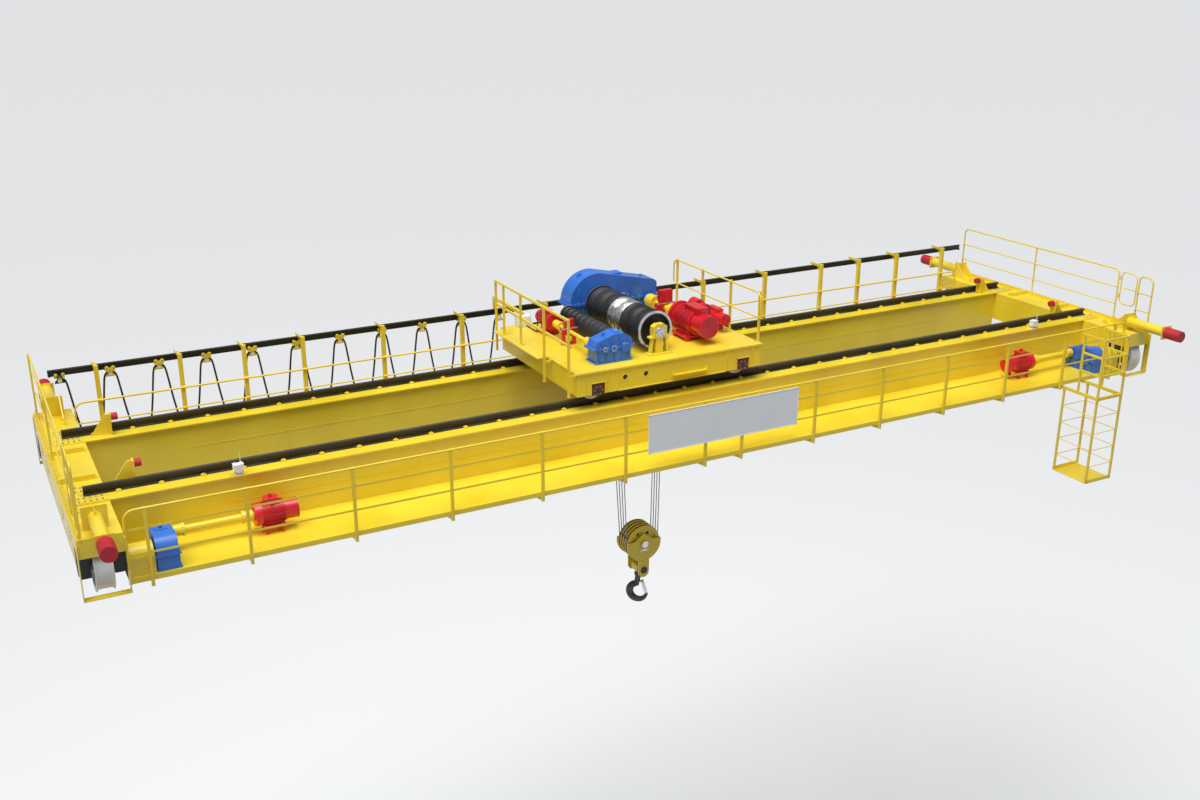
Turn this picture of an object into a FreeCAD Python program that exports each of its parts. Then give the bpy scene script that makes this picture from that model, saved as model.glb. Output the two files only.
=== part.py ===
import FreeCAD, Part
import math
import os

# Double-girder overhead travelling crane, in millimetres.
# X runs along the span, from the left end carriage to the right one. Y runs along
# the runway, with the front walkway at low Y. Z is up. The origin lies on the flat
# underside of the left end carriage, midway between its two wheels.

V = FreeCAD.Vector
os.makedirs("parts", exist_ok=True)

# ---------------------------------------------------------------- driving sizes
SPAN = 20060.0              # between the centre lines of the end carriages
GAUGE = 2500.0              # between the two trolley rails
SEAT_GAP = 0.3              # between faces of pieces that only rest on each other
RUN_FIT = 0.05              # radial clearance of a shaft in its bore

# end carriages
CARRIAGE_W = 600.0
CARRIAGE_H = 600.0
CARRIAGE_L = 5440.0
CARRIAGE_PLATE = 12.0
NOTCH_L = 560.0             # end notch that takes the wheel's axle boxes
NOTCH_H = 320.0
JOINT_BAR_Y = 600.0
JOINT_BAR_W = 100.0
JOINT_BAR_H = 80.0
EDGE_PLATE_X = 255.0
EDGE_PLATE_T = 10.0
EDGE_PLATE_H = 80.0

# bridge wheels
WHEEL_BASE = 4740.0
WHEEL_Z = 50.0
WHEEL_TREAD_R = 350.0
WHEEL_FLANGE_R = 380.0
WHEEL_W = 250.0
WHEEL_FLANGE_W = 30.0
WHEEL_HUB_R = 120.0
WHEEL_WEB_T = 90.0
AXLE_R = 60.0
AXLE_BOX_X0 = 150.0
AXLE_BOX_L = 340.0
AXLE_BOX_H = 380.0
WELL_CLEAR = 20.0           # room round the wheel inside the carriage
GUARD_BAR = 12.0
GUARD_W = 60.0
GUARD_DROP = 290.0          # lowest point of the guard, below the carriage

# main girders
GIRDER_TOP = 620.0
FLANGE_T = 20.0
FLANGE_W = 640.0
FLANGE_LAP = 470.0          # top flange lies this far over the carriage
GIRDER_DEPTH = 1140.0
WEB_GAP = 520.0             # over the outside of both webs
WEB_T = 10.0
BOTTOM_T = 16.0
TAPER_L = 1500.0
GIRDER_END_H = 770.0

# trolley rails
RAIL_H = 130.0
RAIL_HEAD_W = 70.0
RAIL_FOOT_W = 120.0
RAIL_WEB_T = 18.0
RAIL_OVER = 10.0

# walkways
FLOOR_Z = -175.0
FLOOR_T = 8.0
FRONT_FLOOR_EDGE = 2594.0
REAR_FLOOR_EDGE = 2360.0
FASCIA_T = 6.0
FASCIA_H = 80.0
BRACKET_T = 10.0
BRACKET_ROOT = 310.0
BRACKET_TIP = 145.0

# front railing
FRONT_POSTS = (370.0, 1920.0, 3430.0, 4970.0, 6500.0, 8050.0, 9420.0)   # from mid span
POST = 44.0
POST_DROP = 65.0            # posts and gussets reach this far below the floor's edge
FRONT_RAIL_TOP = 850.0
FRONT_RAIL_MID = 550.0
FRONT_RAIL_LOW = 170.0
RAIL_BAR = 34.0
FRONT_RAIL_END = 9700.0
BEND_R = 150.0

# rear railing, whose posts also carry the festoon rail
REAR_POSTS = (950.0, 2720.0, 4290.0, 5790.0, 6840.0, 7930.0, 9290.0)   # from mid span
REAR_POST = 70.0
REAR_RAIL_TOP = 815.0
REAR_RAIL_LOW = 450.0
REAR_RAIL_END = 9710.0
ARM_L = 370.0
ARM_T = 50.0

# festoon
FESTOON_Y = 2550.0
FESTOON_Z = 1260.0          # underside of the rail
FESTOON_H = 100.0
FESTOON_W = 70.0
FESTOON_END = 10025.0
CARRIERS = 11               # the first is the fixed end clamp, the last is on the tow arm
CARRIER_FIRST = 180.0
CARRIER_PITCH = 800.0
CARRIER_L = 160.0
CARRIER_BRIDGE = 36.0       # cheeks reach this far below the rail
CABLE_D = 34.0
SADDLE_R = 86.0
SADDLE_DROP = 160.0         # saddle's centre below the rail's underside
SADDLE_CUT = 25.0           # the shoe is only the part of the circle above this
# half of one cable loop, from the top of a saddle: along X, and down
LOOP_HALF = ((1, 0), (38, 0), (96, 50), (128, 270), (168, 590), (216, 890), (266, 1130), (330, 1262))

# end railings and their gates
END_RAIL_X = 255.0
END_POSTS = (2640.0, 420.0, -1850.0)
END_RAIL_TOP = 1700.0
END_RAIL_MID = 1340.0
END_RAIL_LOW = 985.0
END_BAR_R = 16.0
END_MID_R = 12.0
END_BEND = 110.0
GATE_Y0 = -1900.0
GATE_Y1 = -2310.0
GATE_Z0 = 1010.0
GATE_Z1 = 1680.0
HOOP_Y0 = -2365.0
HOOP_Y1 = -2700.0

# buffers
BUFFER_Z = 770.0
BUFFER_R = 100.0
BUFFER_ROOT = 2450.0        # bracket plate, from the middle of the carriage
BUFFER_PLATE = 340.0
BUFFER_PLATE_T = 20.0
BUFFER_END = 3350.0
PAD_FLANGE = 260.0
PAD_R = 112.0
PAD_L = 350.0

# rail end stops and limit switches
STOP_X = 9300.0             # face that the trolley meets, from mid span
STOP_SIDE = 90.0            # from the middle of the rail to the near side of the stop
STOP_W = 150.0
STOP_Z = 915.0
STOP_BUMPER_R = 60.0
STOP_BUMPER_L = 110.0
SWITCH_LEFT = 2130.0
SWITCH_RIGHT = 18330.0

# bridge drives
GEARBOX_X0 = 710.0
GEARBOX_W = 300.0
GEARBOX_RIM = 25.0          # split flange beyond the case
GEARBOX_BOSS = 30.0
GEARBOX_R = 250.0
GEARBOX_SMALL_R = 155.0
GEARBOX_Y = -2330.0
HOOD_R = 190.0
FAST_Y = -1950.0
FAST_Z = 120.0
COUPLING_R = 85.0
COUPLING_L = 160.0
FAST_SHAFT_R = 56.0
FAST_SHAFT_L = 820.0
MOTOR_R = 175.0
MOTOR_L = 640.0

# inspection cage below the front walkway
CAGE_X0 = 18130.0
CAGE_X1 = 18830.0
CAGE_Y0 = -3510.0
CAGE_Y1 = -2660.0
CAGE_TOP = -310.0
CAGE_FLOOR = -2060.0
CAGE_POST = 50.0
CAGE_BAR_R = 8.0
CAGE_ANGLE = 36.0
CAGE_BARS = 4
HATCH_Y1 = -2990.0
HATCH_TOP = 930.0
HATCH_STEP = 365.0

# sign board
SIGN_HALF = 1510.0
SIGN_Z0 = 115.0
SIGN_Z1 = 805.0
SIGN_T = 12.0

# trolley
TROLLEY_X = 9650.0          # middle of the trolley
TROLLEY_L = 3760.0
DECK_TOP = 1290.0
DECK_T = 20.0
DECK_HALF_W = 1560.0
FRAME_BOTTOM = 880.0
SIDE_WEB_OUT = 1530.0
SIDE_WEB_IN = 980.0
SIDE_WEB_T = 12.0
TROLLEY_WHEEL_BASE = 2940.0
TROLLEY_TREAD_R = 200.0
TROLLEY_FLANGE_R = 225.0
TROLLEY_WHEEL_W = 130.0
TROLLEY_AXLE_R = 40.0
TROLLEY_BOX = 240.0
LEDGE_W = 200.0
TROLLEY_BAR = 36.0
TOW_BAR = 60.0              # the tow arm passes over the rear posts and comes down behind the rail
TOW_TOP = 1560.0
TOW_REACH = 2790.0

# main hoist
DRUM_X = 9570.0
DRUM_Z = 1690.0
DRUM_R = 300.0
DRUM_FLANGE_R = 338.0
DRUM_FLANGE_T = 30.0
DRUM_Y0 = -1050.0
DRUM_Y1 = 950.0
DRUM_SHAFT_R = 55.0
DRUM_WALL = 25.0
FAST_LINE_X = 10610.0
FAST_LINE_Z = 1620.0
HOIST_BOX_Y0 = 1000.0
HOIST_BOX_Y1 = 1420.0
HOIST_MOTOR_Y0 = -1190.0
HOIST_MOTOR_Y1 = -180.0
HOIST_MOTOR_R = 250.0
HOIST_COUPLING_R = 130.0
BRAKE_Y = 350.0
BRAKE_HALF = 45.0

# auxiliary hoist
AUX_DRUM_X = 8880.0
AUX_DRUM_Z = 1550.0
AUX_DRUM_R = 155.0
AUX_DRUM_Y0 = -840.0
AUX_DRUM_Y1 = 960.0
AUX_LINE_X = 8430.0
AUX_LINE_Z = 1540.0
AUX_BOX_Y0 = -1250.0
AUX_BOX_Y1 = -890.0
AUX_MOTOR_Y0 = 640.0
AUX_MOTOR_Y1 = 1180.0
AUX_MOTOR_R = 150.0
AUX_BRAKE_Y = 60.0

# hook block
BLOCK_X = 9880.0
BLOCK_Y = -50.0
BLOCK_Z = -2870.0
BLOCK_HALF_T = 215.0
BLOCK_PLATE_T = 25.0
BLOCK_R = 370.0
SHEAVE_R = 360.0
SHEAVE_GROOVE_R = 330.0
SHEAVE_PITCH = 90.0
SHEAVE_W = 76.0
BLOCK_PIN_R = 45.0
TRUNNION_Z = -570.0         # hook's cross head, below the sheave pin
HOOK_SHANK_R = 55.0
HOOK_CENTRE_Z = -1130.0     # middle of the hook's bowl, below the sheave pin
HOOK_BOWL_R = 110.0
HOOK_THICK = 62.0
HOOK_TURN = -45.0           # the mouth points between high X and low Y
LATCH_X = 84.0              # latch pin, from the shank's axis and the bowl's middle
LATCH_Z = 225.0
LATCH_W = 100.0
LATCH_PIN_R = 6.0
LUG_T = 20.0
ROPE_R = 11.0
ROPE_SEAT = 0.8             # slanting falls keep this from the drum

MID = SPAN / 2
HALF_GAUGE = GAUGE / 2
RAIL_TOP = GIRDER_TOP + RAIL_H
WEB_OUT = HALF_GAUGE + WEB_GAP / 2
FRONT_RAIL_Y = -(FRONT_FLOOR_EDGE + FASCIA_T + POST / 2)
REAR_RAIL_Y = REAR_FLOOR_EDGE + FASCIA_T - REAR_POST / 2
TROLLEY_X0 = TROLLEY_X - TROLLEY_L / 2
TROLLEY_X1 = TROLLEY_X + TROLLEY_L / 2
TROLLEY_AXLE_Z = RAIL_TOP + TROLLEY_TREAD_R + SEAT_GAP
WHEEL_Y = WHEEL_BASE / 2


# ---------------------------------------------------------------- shape helpers
def box(x0, x1, y0, y1, z0, z1):
    """A block between two corners."""
    return Part.makeBox(abs(x1 - x0), abs(y1 - y0), abs(z1 - z0), V(min(x0, x1), min(y0, y1), min(z0, z1)))


def rod(start, end, r):
    """A round bar from one point to another."""
    line = end - start
    return Part.makeCylinder(r, line.Length, start, line)


def along_x(x0, x1, y, z, r):
    return rod(V(x0, y, z), V(x1, y, z), r)


def along_y(y0, y1, x, z, r):
    return rod(V(x, y0, z), V(x, y1, z), r)


def upright(x, y, z0, z1, r):
    return rod(V(x, y, z0), V(x, y, z1), r)


def plate_xz(points, y0, y1):
    """A plate with an outline in X and Z, from y0 to y1."""
    face = Part.Face(Part.makePolygon([V(x, y0, z) for x, z in points + points[:1]]))
    return face.extrude(V(0, y1 - y0, 0))


def plate_yz(points, x0, x1):
    """A plate with an outline in Y and Z, from x0 to x1."""
    face = Part.Face(Part.makePolygon([V(x0, y, z) for y, z in points + points[:1]]))
    return face.extrude(V(x1 - x0, 0, 0))


def joined(shapes):
    """Welds shapes into one and merges faces that lie in one plane."""
    whole = shapes[0]
    if len(shapes) > 1:
        whole = shapes[0].multiFuse(shapes[1:])
    return whole.removeSplitter()


def mirrored(shape, point, normal):
    return shape.mirror(point, normal)


def to_right(shape):
    """The same piece at the right-hand end of the crane."""
    return mirrored(shape, V(MID, 0, 0), V(1, 0, 0))


def to_rear(shape):
    """The same piece on the rear side of the crane."""
    return mirrored(shape, V(0, 0, 0), V(0, 1, 0))


def bent_path(points, radii):
    """A wire of straight runs joined by tangent arcs, one radius for each inner point."""
    edges = []
    start = points[0]
    for i in range(1, len(points) - 1):
        before = (points[i] - points[i - 1]).normalize()
        after = (points[i + 1] - points[i]).normalize()
        half_turn = before.getAngle(after) / 2
        cut = radii[i - 1] * math.tan(half_turn)
        arc_start = points[i] - before * cut
        arc_end = points[i] + after * cut
        inward = (after - before).normalize()
        centre = points[i] + inward * (radii[i - 1] / math.cos(half_turn))
        arc_mid = centre - inward * radii[i - 1]
        edges.append(Part.LineSegment(start, arc_start).toShape())
        edges.append(Part.Arc(arc_start, arc_mid, arc_end).toShape())
        start = arc_end
    edges.append(Part.LineSegment(start, points[-1]).toShape())
    return Part.Wire(edges)


def bent_bar(points, radii, r):
    """A round bar or tube bent along a path."""
    path = bent_path(points, radii)
    circle = Part.makeCircle(r, points[0], points[1] - points[0])
    return path.makePipeShell([Part.Wire(circle)], True, False)


def save(name, shape):
    """Writes one named piece, as one solid or as several that do not touch."""
    solids = shape.Solids
    whole = solids[0] if len(solids) == 1 else Part.makeCompound(solids)
    if not whole.isValid():
        print("not valid:", name)
    whole.exportStep("parts/" + name + ".step")
    print(name, len(solids), "solid(s)", round(whole.Volume / 1e9, 4), "m3")


# ---------------------------------------------------------------- bridge
def end_carriage():
    """The left end carriage: a box beam, notched at both ends for the wheels."""
    half_w = CARRIAGE_W / 2
    half_l = CARRIAGE_L / 2
    t = CARRIAGE_PLATE
    notch_y = half_l - NOTCH_L
    outer = box(-half_w, half_w, -half_l, half_l, 0, CARRIAGE_H)
    inner = box(-half_w + t, half_w - t, -half_l + t, half_l - t, t, CARRIAGE_H - t)
    beam = outer.cut(inner)
    for side in (-1, 1):
        notch = box(-half_w - t, half_w + t, side * notch_y, side * (half_l + t), -t, NOTCH_H)
        beam = beam.cut(notch)
    well_x = WHEEL_W / 2 + WELL_CLEAR
    well_y = WHEEL_Y - WHEEL_FLANGE_R - WELL_CLEAR
    for side in (-1, 1):
        beam = beam.cut(box(-well_x, well_x, side * well_y, side * notch_y, -t, 2 * t))
    parts = [beam]
    for side in (-1, 1):
        # the plate that closes the box behind each wheel
        parts.append(box(-half_w, half_w, side * (well_y - t), side * well_y, 0, CARRIAGE_H - t / 2))
        bar_y = side * JOINT_BAR_Y
        parts.append(box(-half_w + 30, half_w - 60, bar_y - JOINT_BAR_W / 2, bar_y + JOINT_BAR_W / 2,
                         CARRIAGE_H - t / 2, CARRIAGE_H + JOINT_BAR_H))
    parts.append(box(-EDGE_PLATE_X - EDGE_PLATE_T, -EDGE_PLATE_X, -half_l + 10, half_l - 10,
                     CARRIAGE_H - t / 2, CARRIAGE_H + EDGE_PLATE_H))
    return joined(parts)


def girder():
    """The front girder: a box of two webs with wide flanges, shallower at its ends."""
    x0 = CARRIAGE_W / 2
    bottom = GIRDER_TOP - GIRDER_DEPTH
    end_bottom = GIRDER_TOP - GIRDER_END_H
    top = GIRDER_TOP - FLANGE_T

    def profile(inset, z_top):
        return [(x0 + inset, z_top), (x0 + inset, end_bottom + inset),
                (x0 + TAPER_L, bottom + inset), (SPAN - x0 - TAPER_L, bottom + inset),
                (SPAN - x0 - inset, end_bottom + inset), (SPAN - x0 - inset, z_top)]

    y_out = -HALF_GAUGE - WEB_GAP / 2
    y_in = -HALF_GAUGE + WEB_GAP / 2
    shell = plate_xz(profile(0, top), y_out, y_in)
    hollow = plate_xz(profile(BOTTOM_T, top + 1), y_out + WEB_T, y_in - WEB_T)
    shell = shell.cut(hollow)
    flange = box(x0 - FLANGE_LAP, SPAN - x0 + FLANGE_LAP,
                 -HALF_GAUGE - FLANGE_W / 2, -HALF_GAUGE + FLANGE_W / 2, top, GIRDER_TOP)
    sole = box(x0 + TAPER_L, SPAN - x0 - TAPER_L,
               y_out - 30, y_in + 30, bottom, bottom + BOTTOM_T)
    return joined([shell, flange, sole])


def rail():
    """The front trolley rail, with its head, web and foot."""
    z0 = GIRDER_TOP
    half_head = RAIL_HEAD_W / 2
    half_foot = RAIL_FOOT_W / 2
    half_web = RAIL_WEB_T / 2
    outline = [(-half_foot, z0), (half_foot, z0), (half_foot, z0 + 14), (half_web, z0 + 28),
               (half_web, z0 + RAIL_H - 42), (half_head, z0 + RAIL_H - 32), (half_head, z0 + RAIL_H),
               (-half_head, z0 + RAIL_H), (-half_head, z0 + RAIL_H - 32), (-half_web, z0 + RAIL_H - 42),
               (-half_web, z0 + 28), (-half_foot, z0 + 14)]
    outline = [(y - HALF_GAUGE, z) for y, z in outline]
    return plate_yz(outline, -RAIL_OVER, SPAN + RAIL_OVER)


def end_stop():
    """A welded stop on the inner side of the front rail, at the left end."""
    x = MID - STOP_X
    y0 = -HALF_GAUGE + STOP_SIDE
    y1 = y0 + STOP_W
    z0 = GIRDER_TOP
    z1 = STOP_Z + 60
    wedge = plate_xz([(x - 330, z0), (x - 20, z0), (x - 20, z1 - 10), (x - 90, z1 - 10)],
                     y0 + STOP_W / 2 - 15, y0 + STOP_W / 2 + 15)
    face = box(x - 20, x, y0, y1, z0, z1)
    return joined([wedge, face])


def stop_bumper():
    """The rubber bumper on that stop."""
    x = MID - STOP_X
    y = -HALF_GAUGE + STOP_SIDE + STOP_W / 2
    return along_x(x, x + STOP_BUMPER_L, y, STOP_Z, STOP_BUMPER_R)


def bracket(x, y_web, y_tip):
    """A gusset that carries the walkway floor from the girder's web."""
    z = FLOOR_Z - FLOOR_T
    return plate_yz([(y_web, z), (y_tip, z), (y_tip, z - BRACKET_TIP), (y_web, z - BRACKET_ROOT)],
                    x - BRACKET_T / 2, x + BRACKET_T / 2)


def walkway(side, edge, posts):
    """A plate floor along one girder, with its turned-down edge and its gussets."""
    y_web = side * WEB_OUT
    y_edge = side * edge
    y_face = side * (edge + FASCIA_T)
    x0 = CARRIAGE_W / 2 + SEAT_GAP
    x1 = SPAN - x0
    parts = [box(x0, x1, y_web, y_edge, FLOOR_Z - FLOOR_T, FLOOR_Z),
             box(x0, x1, y_edge, y_face, FLOOR_Z - FASCIA_H, FLOOR_Z)]
    for offset in posts:
        for x in (MID - offset, MID + offset):
            parts.append(bracket(x, y_web, y_edge))
    return joined(parts)


def end_bend(x, y, foot, top, r, way):
    """The rounded end of a railing: up from the foot, round, and along to the straight rail."""
    return bent_bar([V(x, y, foot), V(x, y, top), V(x + way * (BEND_R + r), y, top)], [BEND_R], r)


def railing_ends(y, half_length, foot, top, r):
    """Both rounded ends and the straight rail between them, as three members."""
    x0 = MID - half_length
    x1 = MID + half_length
    straight = along_x(x0 + BEND_R + r + SEAT_GAP, x1 - BEND_R - r - SEAT_GAP, y, top, r)
    return [end_bend(x0, y, foot, top, r, 1), straight, end_bend(x1, y, foot, top, r, -1)]


def front_railing():
    """Posts on the walkway's edge, a round top rail on them and two flat bars on their inner faces."""
    y = FRONT_RAIL_Y
    r = RAIL_BAR / 2
    half = POST / 2
    members = railing_ends(y, FRONT_RAIL_END, FLOOR_Z - FASCIA_H + 10, FRONT_RAIL_TOP, r)
    for offset in FRONT_POSTS:
        for x in (MID - offset, MID + offset):
            members.append(box(x - half, x + half, y - half, y + half,
                               FLOOR_Z - FASCIA_H - POST_DROP, FRONT_RAIL_TOP - r - SEAT_GAP))
    y_bar = y + half + SEAT_GAP
    for z in (FRONT_RAIL_MID, FRONT_RAIL_LOW):
        members.append(box(MID - FRONT_RAIL_END + 2 * r, MID + FRONT_RAIL_END - 2 * r,
                           y_bar, y_bar + 8, z - 15, z + 15))
    return Part.makeCompound(members)


def rear_railing():
    """Rear posts with two rails on their inner faces, and arms that hold the festoon rail."""
    y = REAR_RAIL_Y
    half = REAR_POST / 2
    r = RAIL_BAR / 2
    arm_z = FESTOON_Z + FESTOON_H
    y_rail = y - half - r - SEAT_GAP
    members = railing_ends(y_rail, REAR_RAIL_END, FLOOR_Z, REAR_RAIL_TOP, r)
    x0 = MID - REAR_RAIL_END + 2 * r
    x1 = MID + REAR_RAIL_END - 2 * r
    r_low = r - 4
    members.append(along_x(x0, x1, y - half - r_low - SEAT_GAP, REAR_RAIL_LOW, r_low))
    for offset in REAR_POSTS:
        for x in (MID - offset, MID + offset):
            members.append(box(x - half, x + half, y - half, y + half, FLOOR_Z, arm_z + ARM_T))
            members.append(box(x - half, x + half, y + half + SEAT_GAP, y - half + ARM_L, arm_z, arm_z + 8))
            members.append(box(x - half, x - half + 8, y + half + SEAT_GAP, y - half + ARM_L,
                               arm_z + 8 + SEAT_GAP, arm_z + ARM_T))
    return Part.makeCompound(members)


def festoon_rail():
    """The rolled beam that the cable carriers run on, with the fixed end clamp."""
    z0 = FESTOON_Z
    z1 = FESTOON_Z + FESTOON_H
    half = FESTOON_W / 2
    outline = [(-half, z0), (half, z0), (half, z0 + 9), (4, z0 + 9), (4, z1 - 9), (half, z1 - 9),
               (half, z1), (-half, z1), (-half, z1 - 9), (-4, z1 - 9), (-4, z0 + 9), (-half, z0 + 9)]
    outline = [(y + FESTOON_Y, z) for y, z in outline]
    return plate_yz(outline, MID - FESTOON_END, MID + FESTOON_END)


def saddle(x):
    """The rounded shoe that the cable lies over, hung between two cheeks."""
    z = FESTOON_Z - SADDLE_DROP
    half = CABLE_D / 2 + 4
    shoe = along_y(FESTOON_Y - half - 6, FESTOON_Y + half + 6, x, z, SADDLE_R)
    below = box(x - SADDLE_R, x + SADDLE_R, FESTOON_Y - 60, FESTOON_Y + 60, z - SADDLE_R, z + SADDLE_CUT)
    shoe = shoe.cut(below)
    parts = [shoe]
    for side in (-1, 1):
        y = FESTOON_Y + side * half
        parts.append(box(x - 42, x + 42, y, y + side * 6, z + SADDLE_CUT, FESTOON_Z - CARRIER_BRIDGE))
    return joined(parts)


def carrier_body(x, play):
    """Two cheeks beside the rail's lower flange, joined by a plate below it."""
    half = FESTOON_W / 2
    z = FESTOON_Z
    parts = []
    for side in (-1, 1):
        y_in = FESTOON_Y + side * (half + play)
        y_out = FESTOON_Y + side * (half + 20)
        for dx in (-1, 1):
            parts.append(plate_xz([(x, z - CARRIER_BRIDGE), (x + dx * CARRIER_L / 2, z - CARRIER_BRIDGE),
                                   (x + dx * CARRIER_L / 2, z + 48), (x + dx * 30, z + 48), (x, z + 20)],
                                  min(y_in, y_out), max(y_in, y_out)))
    parts.append(box(x - CARRIER_L / 2, x + CARRIER_L / 2, FESTOON_Y - half - 20, FESTOON_Y + half + 20,
                     z - CARRIER_BRIDGE, z - play))
    parts.append(saddle(x))
    return parts


def carrier(x):
    """One cable carrier, with four rollers on the rail's lower flange."""
    parts = carrier_body(x, 12)
    for side in (-1, 1):
        for dx in (-1, 1):
            y_in = FESTOON_Y + side * (FESTOON_W / 2 + 12)
            parts.append(along_y(FESTOON_Y + side * 10, y_in, x + dx * 50, FESTOON_Z + 9 + SEAT_GAP + 20, 20))
    return joined(parts)


def end_clamp():
    """The fixed clamp at the left end of the festoon rail."""
    return joined(carrier_body(CARRIER_FIRST, 0))


def route_radii(points):
    """The largest neat arc at each inner point of a cord's route: at an end of the
    route an arc may take most of its run, elsewhere two arcs share one."""
    radii = []
    last = len(points) - 2
    for i in range(1, len(points) - 1):
        before = points[i] - points[i - 1]
        after = points[i + 1] - points[i]
        half_turn = before.getAngle(after) / 2
        room_before = before.Length * (0.9 if i == 1 else 0.45)
        room_after = after.Length * (0.9 if i == last else 0.45)
        radii.append(min(room_before, room_after) / math.tan(half_turn))
    return radii


def cable_loops():
    """The cable: over every saddle, and down in a loop between each two of them."""
    z_top = FESTOON_Z - SADDLE_DROP + SADDLE_R + CABLE_D / 2 + SEAT_GAP
    loops = []
    for k in range(CARRIERS - 1):
        xa = CARRIER_FIRST + k * CARRIER_PITCH
        xb = xa + CARRIER_PITCH
        points = [V(xa + x, FESTOON_Y, z_top - drop) for x, drop in LOOP_HALF]
        points += [V(xb - x, FESTOON_Y, z_top - drop) for x, drop in reversed(LOOP_HALF)]
        radii = route_radii(points)
        loops.append(bent_bar(points, radii, CABLE_D / 2))
    print("cable bends, mm:", [round(r) for r in radii])
    return Part.makeCompound(loops)


def hoop_members(x, y0, y1, z0, top, r):
    """Two rounded posts and the straight rail between them, along Y."""
    way = 1 if y1 > y0 else -1
    reach = END_BEND + r
    first = bent_bar([V(x, y0, z0), V(x, y0, top), V(x, y0 + way * reach, top)], [END_BEND], r)
    second = bent_bar([V(x, y1, z0), V(x, y1, top), V(x, y1 - way * reach, top)], [END_BEND], r)
    members = [first, second]
    if abs(y1 - y0) > 2 * reach + 20:
        members.append(along_y(y0 + way * (reach + SEAT_GAP), y1 - way * (reach + SEAT_GAP), x, top, r))
    return members


def end_railing():
    """The left end railing: a long panel, its middle post, and the hoop beyond the gate."""
    x = -END_RAIL_X + END_BAR_R + 1
    x_bar = x + END_BAR_R + END_MID_R + SEAT_GAP
    z0 = CARRIAGE_H
    members = hoop_members(x, END_POSTS[2], END_POSTS[0], z0, END_RAIL_TOP, END_BAR_R)
    members.append(upright(x, END_POSTS[1], z0, END_RAIL_TOP - END_BAR_R - SEAT_GAP, END_BAR_R))
    members += hoop_members(x, HOOP_Y0, HOOP_Y1, z0, GATE_Z1, END_BAR_R)
    for z in (END_RAIL_MID, END_RAIL_LOW):
        members.append(along_y(END_POSTS[2], END_POSTS[0], x_bar, z, END_MID_R))
        members.append(along_y(HOOP_Y1, HOOP_Y0, x_bar, z, END_MID_R))
    # lugs that the gate's hinge pins stand in
    for z in (GATE_Z0 + 150, GATE_Z1 - 150):
        lug = box(x - 10, x + 10, GATE_Y0 - 6, END_POSTS[2] - END_BAR_R - SEAT_GAP, z - 30, z - 10)
        members.append(joined([lug, upright(x, GATE_Y0, z - 10, z + 30, 6)]))
    return members


def gate():
    """The left gate: a rounded frame with one bar, on two hinge sleeves."""
    x = -END_RAIL_X + END_BAR_R + 1
    y0 = GATE_Y0 - 26
    mid_z = (GATE_Z0 + GATE_Z1) / 2
    mid_y = (y0 + GATE_Y1) / 2
    frame = [bent_bar([V(x, mid_y, GATE_Z0), V(x, y0, GATE_Z0), V(x, y0, GATE_Z1), V(x, GATE_Y1, GATE_Z1),
                       V(x, GATE_Y1, GATE_Z0), V(x, mid_y, GATE_Z0)],
                      [END_BEND, END_BEND, END_BEND, END_BEND], END_MID_R),
             along_y(GATE_Y1, y0, x, mid_z, END_MID_R - 2)]
    for z in (GATE_Z0 + 150, GATE_Z1 - 150):
        frame.append(box(x - 6, x + 6, y0, GATE_Y0, z - 8, z + 34))
        frame.append(upright(x, GATE_Y0, z - 10 + SEAT_GAP, z + 36, 12))
    whole = joined(frame)
    for z in (GATE_Z0 + 150, GATE_Z1 - 150):
        whole = whole.cut(upright(x, GATE_Y0, z - 12, z + 31, 6 + RUN_FIT))
    return whole


def buffer_arm():
    """The front left buffer: a bracket on the carriage, a tube and a square flange."""
    half = BUFFER_PLATE / 2
    z0 = CARRIAGE_H
    y = -BUFFER_ROOT
    y_end = -BUFFER_END
    back = box(-half, half, y, y + BUFFER_PLATE_T, z0, BUFFER_Z + half)
    parts = [back, along_y(y_end, y, 0, BUFFER_Z, BUFFER_R),
             box(-PAD_FLANGE / 2, PAD_FLANGE / 2, y_end, y_end + 20, BUFFER_Z - PAD_FLANGE / 2,
                 BUFFER_Z + PAD_FLANGE / 2)]
    for x in (-half + 40, half - 60):
        top = BUFFER_Z + half
        parts.append(plate_yz([(y + BUFFER_PLATE_T, z0), (y + 330, z0), (y + 330, z0 + 40),
                               (y + BUFFER_PLATE_T, top)], x, x + 20))
    return joined(parts)


def buffer_pad():
    """The polyurethane buffer on that flange."""
    return along_y(-BUFFER_END - PAD_L, -BUFFER_END, 0, BUFFER_Z, PAD_R)


def axle_box(x0, x1):
    """One bearing housing of the front left wheel."""
    y = -WHEEL_Y
    half = AXLE_BOX_L / 2
    block = box(x0, x1, y - half, y + half, NOTCH_H - AXLE_BOX_H, NOTCH_H)
    return block.cut(along_x(x0 - 1, x1 + 1, y, WHEEL_Z, AXLE_R + RUN_FIT))


def wheel_guard():
    """The flat-bar loop in front of the front left wheel."""
    half_w = CARRIAGE_W / 2
    y0 = -CARRIAGE_L / 2 - GUARD_W
    y1 = -CARRIAGE_L / 2 + 60
    t = GUARD_BAR
    z0 = -GUARD_DROP
    z1 = CARRIAGE_H - 60
    outer = box(-half_w - t, half_w + t, y0, y1, z0, z1)
    inner = box(-half_w, half_w, y0 - 1, y1 + 1, z0 + t, z1 + 1)
    return outer.cut(inner)


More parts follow.
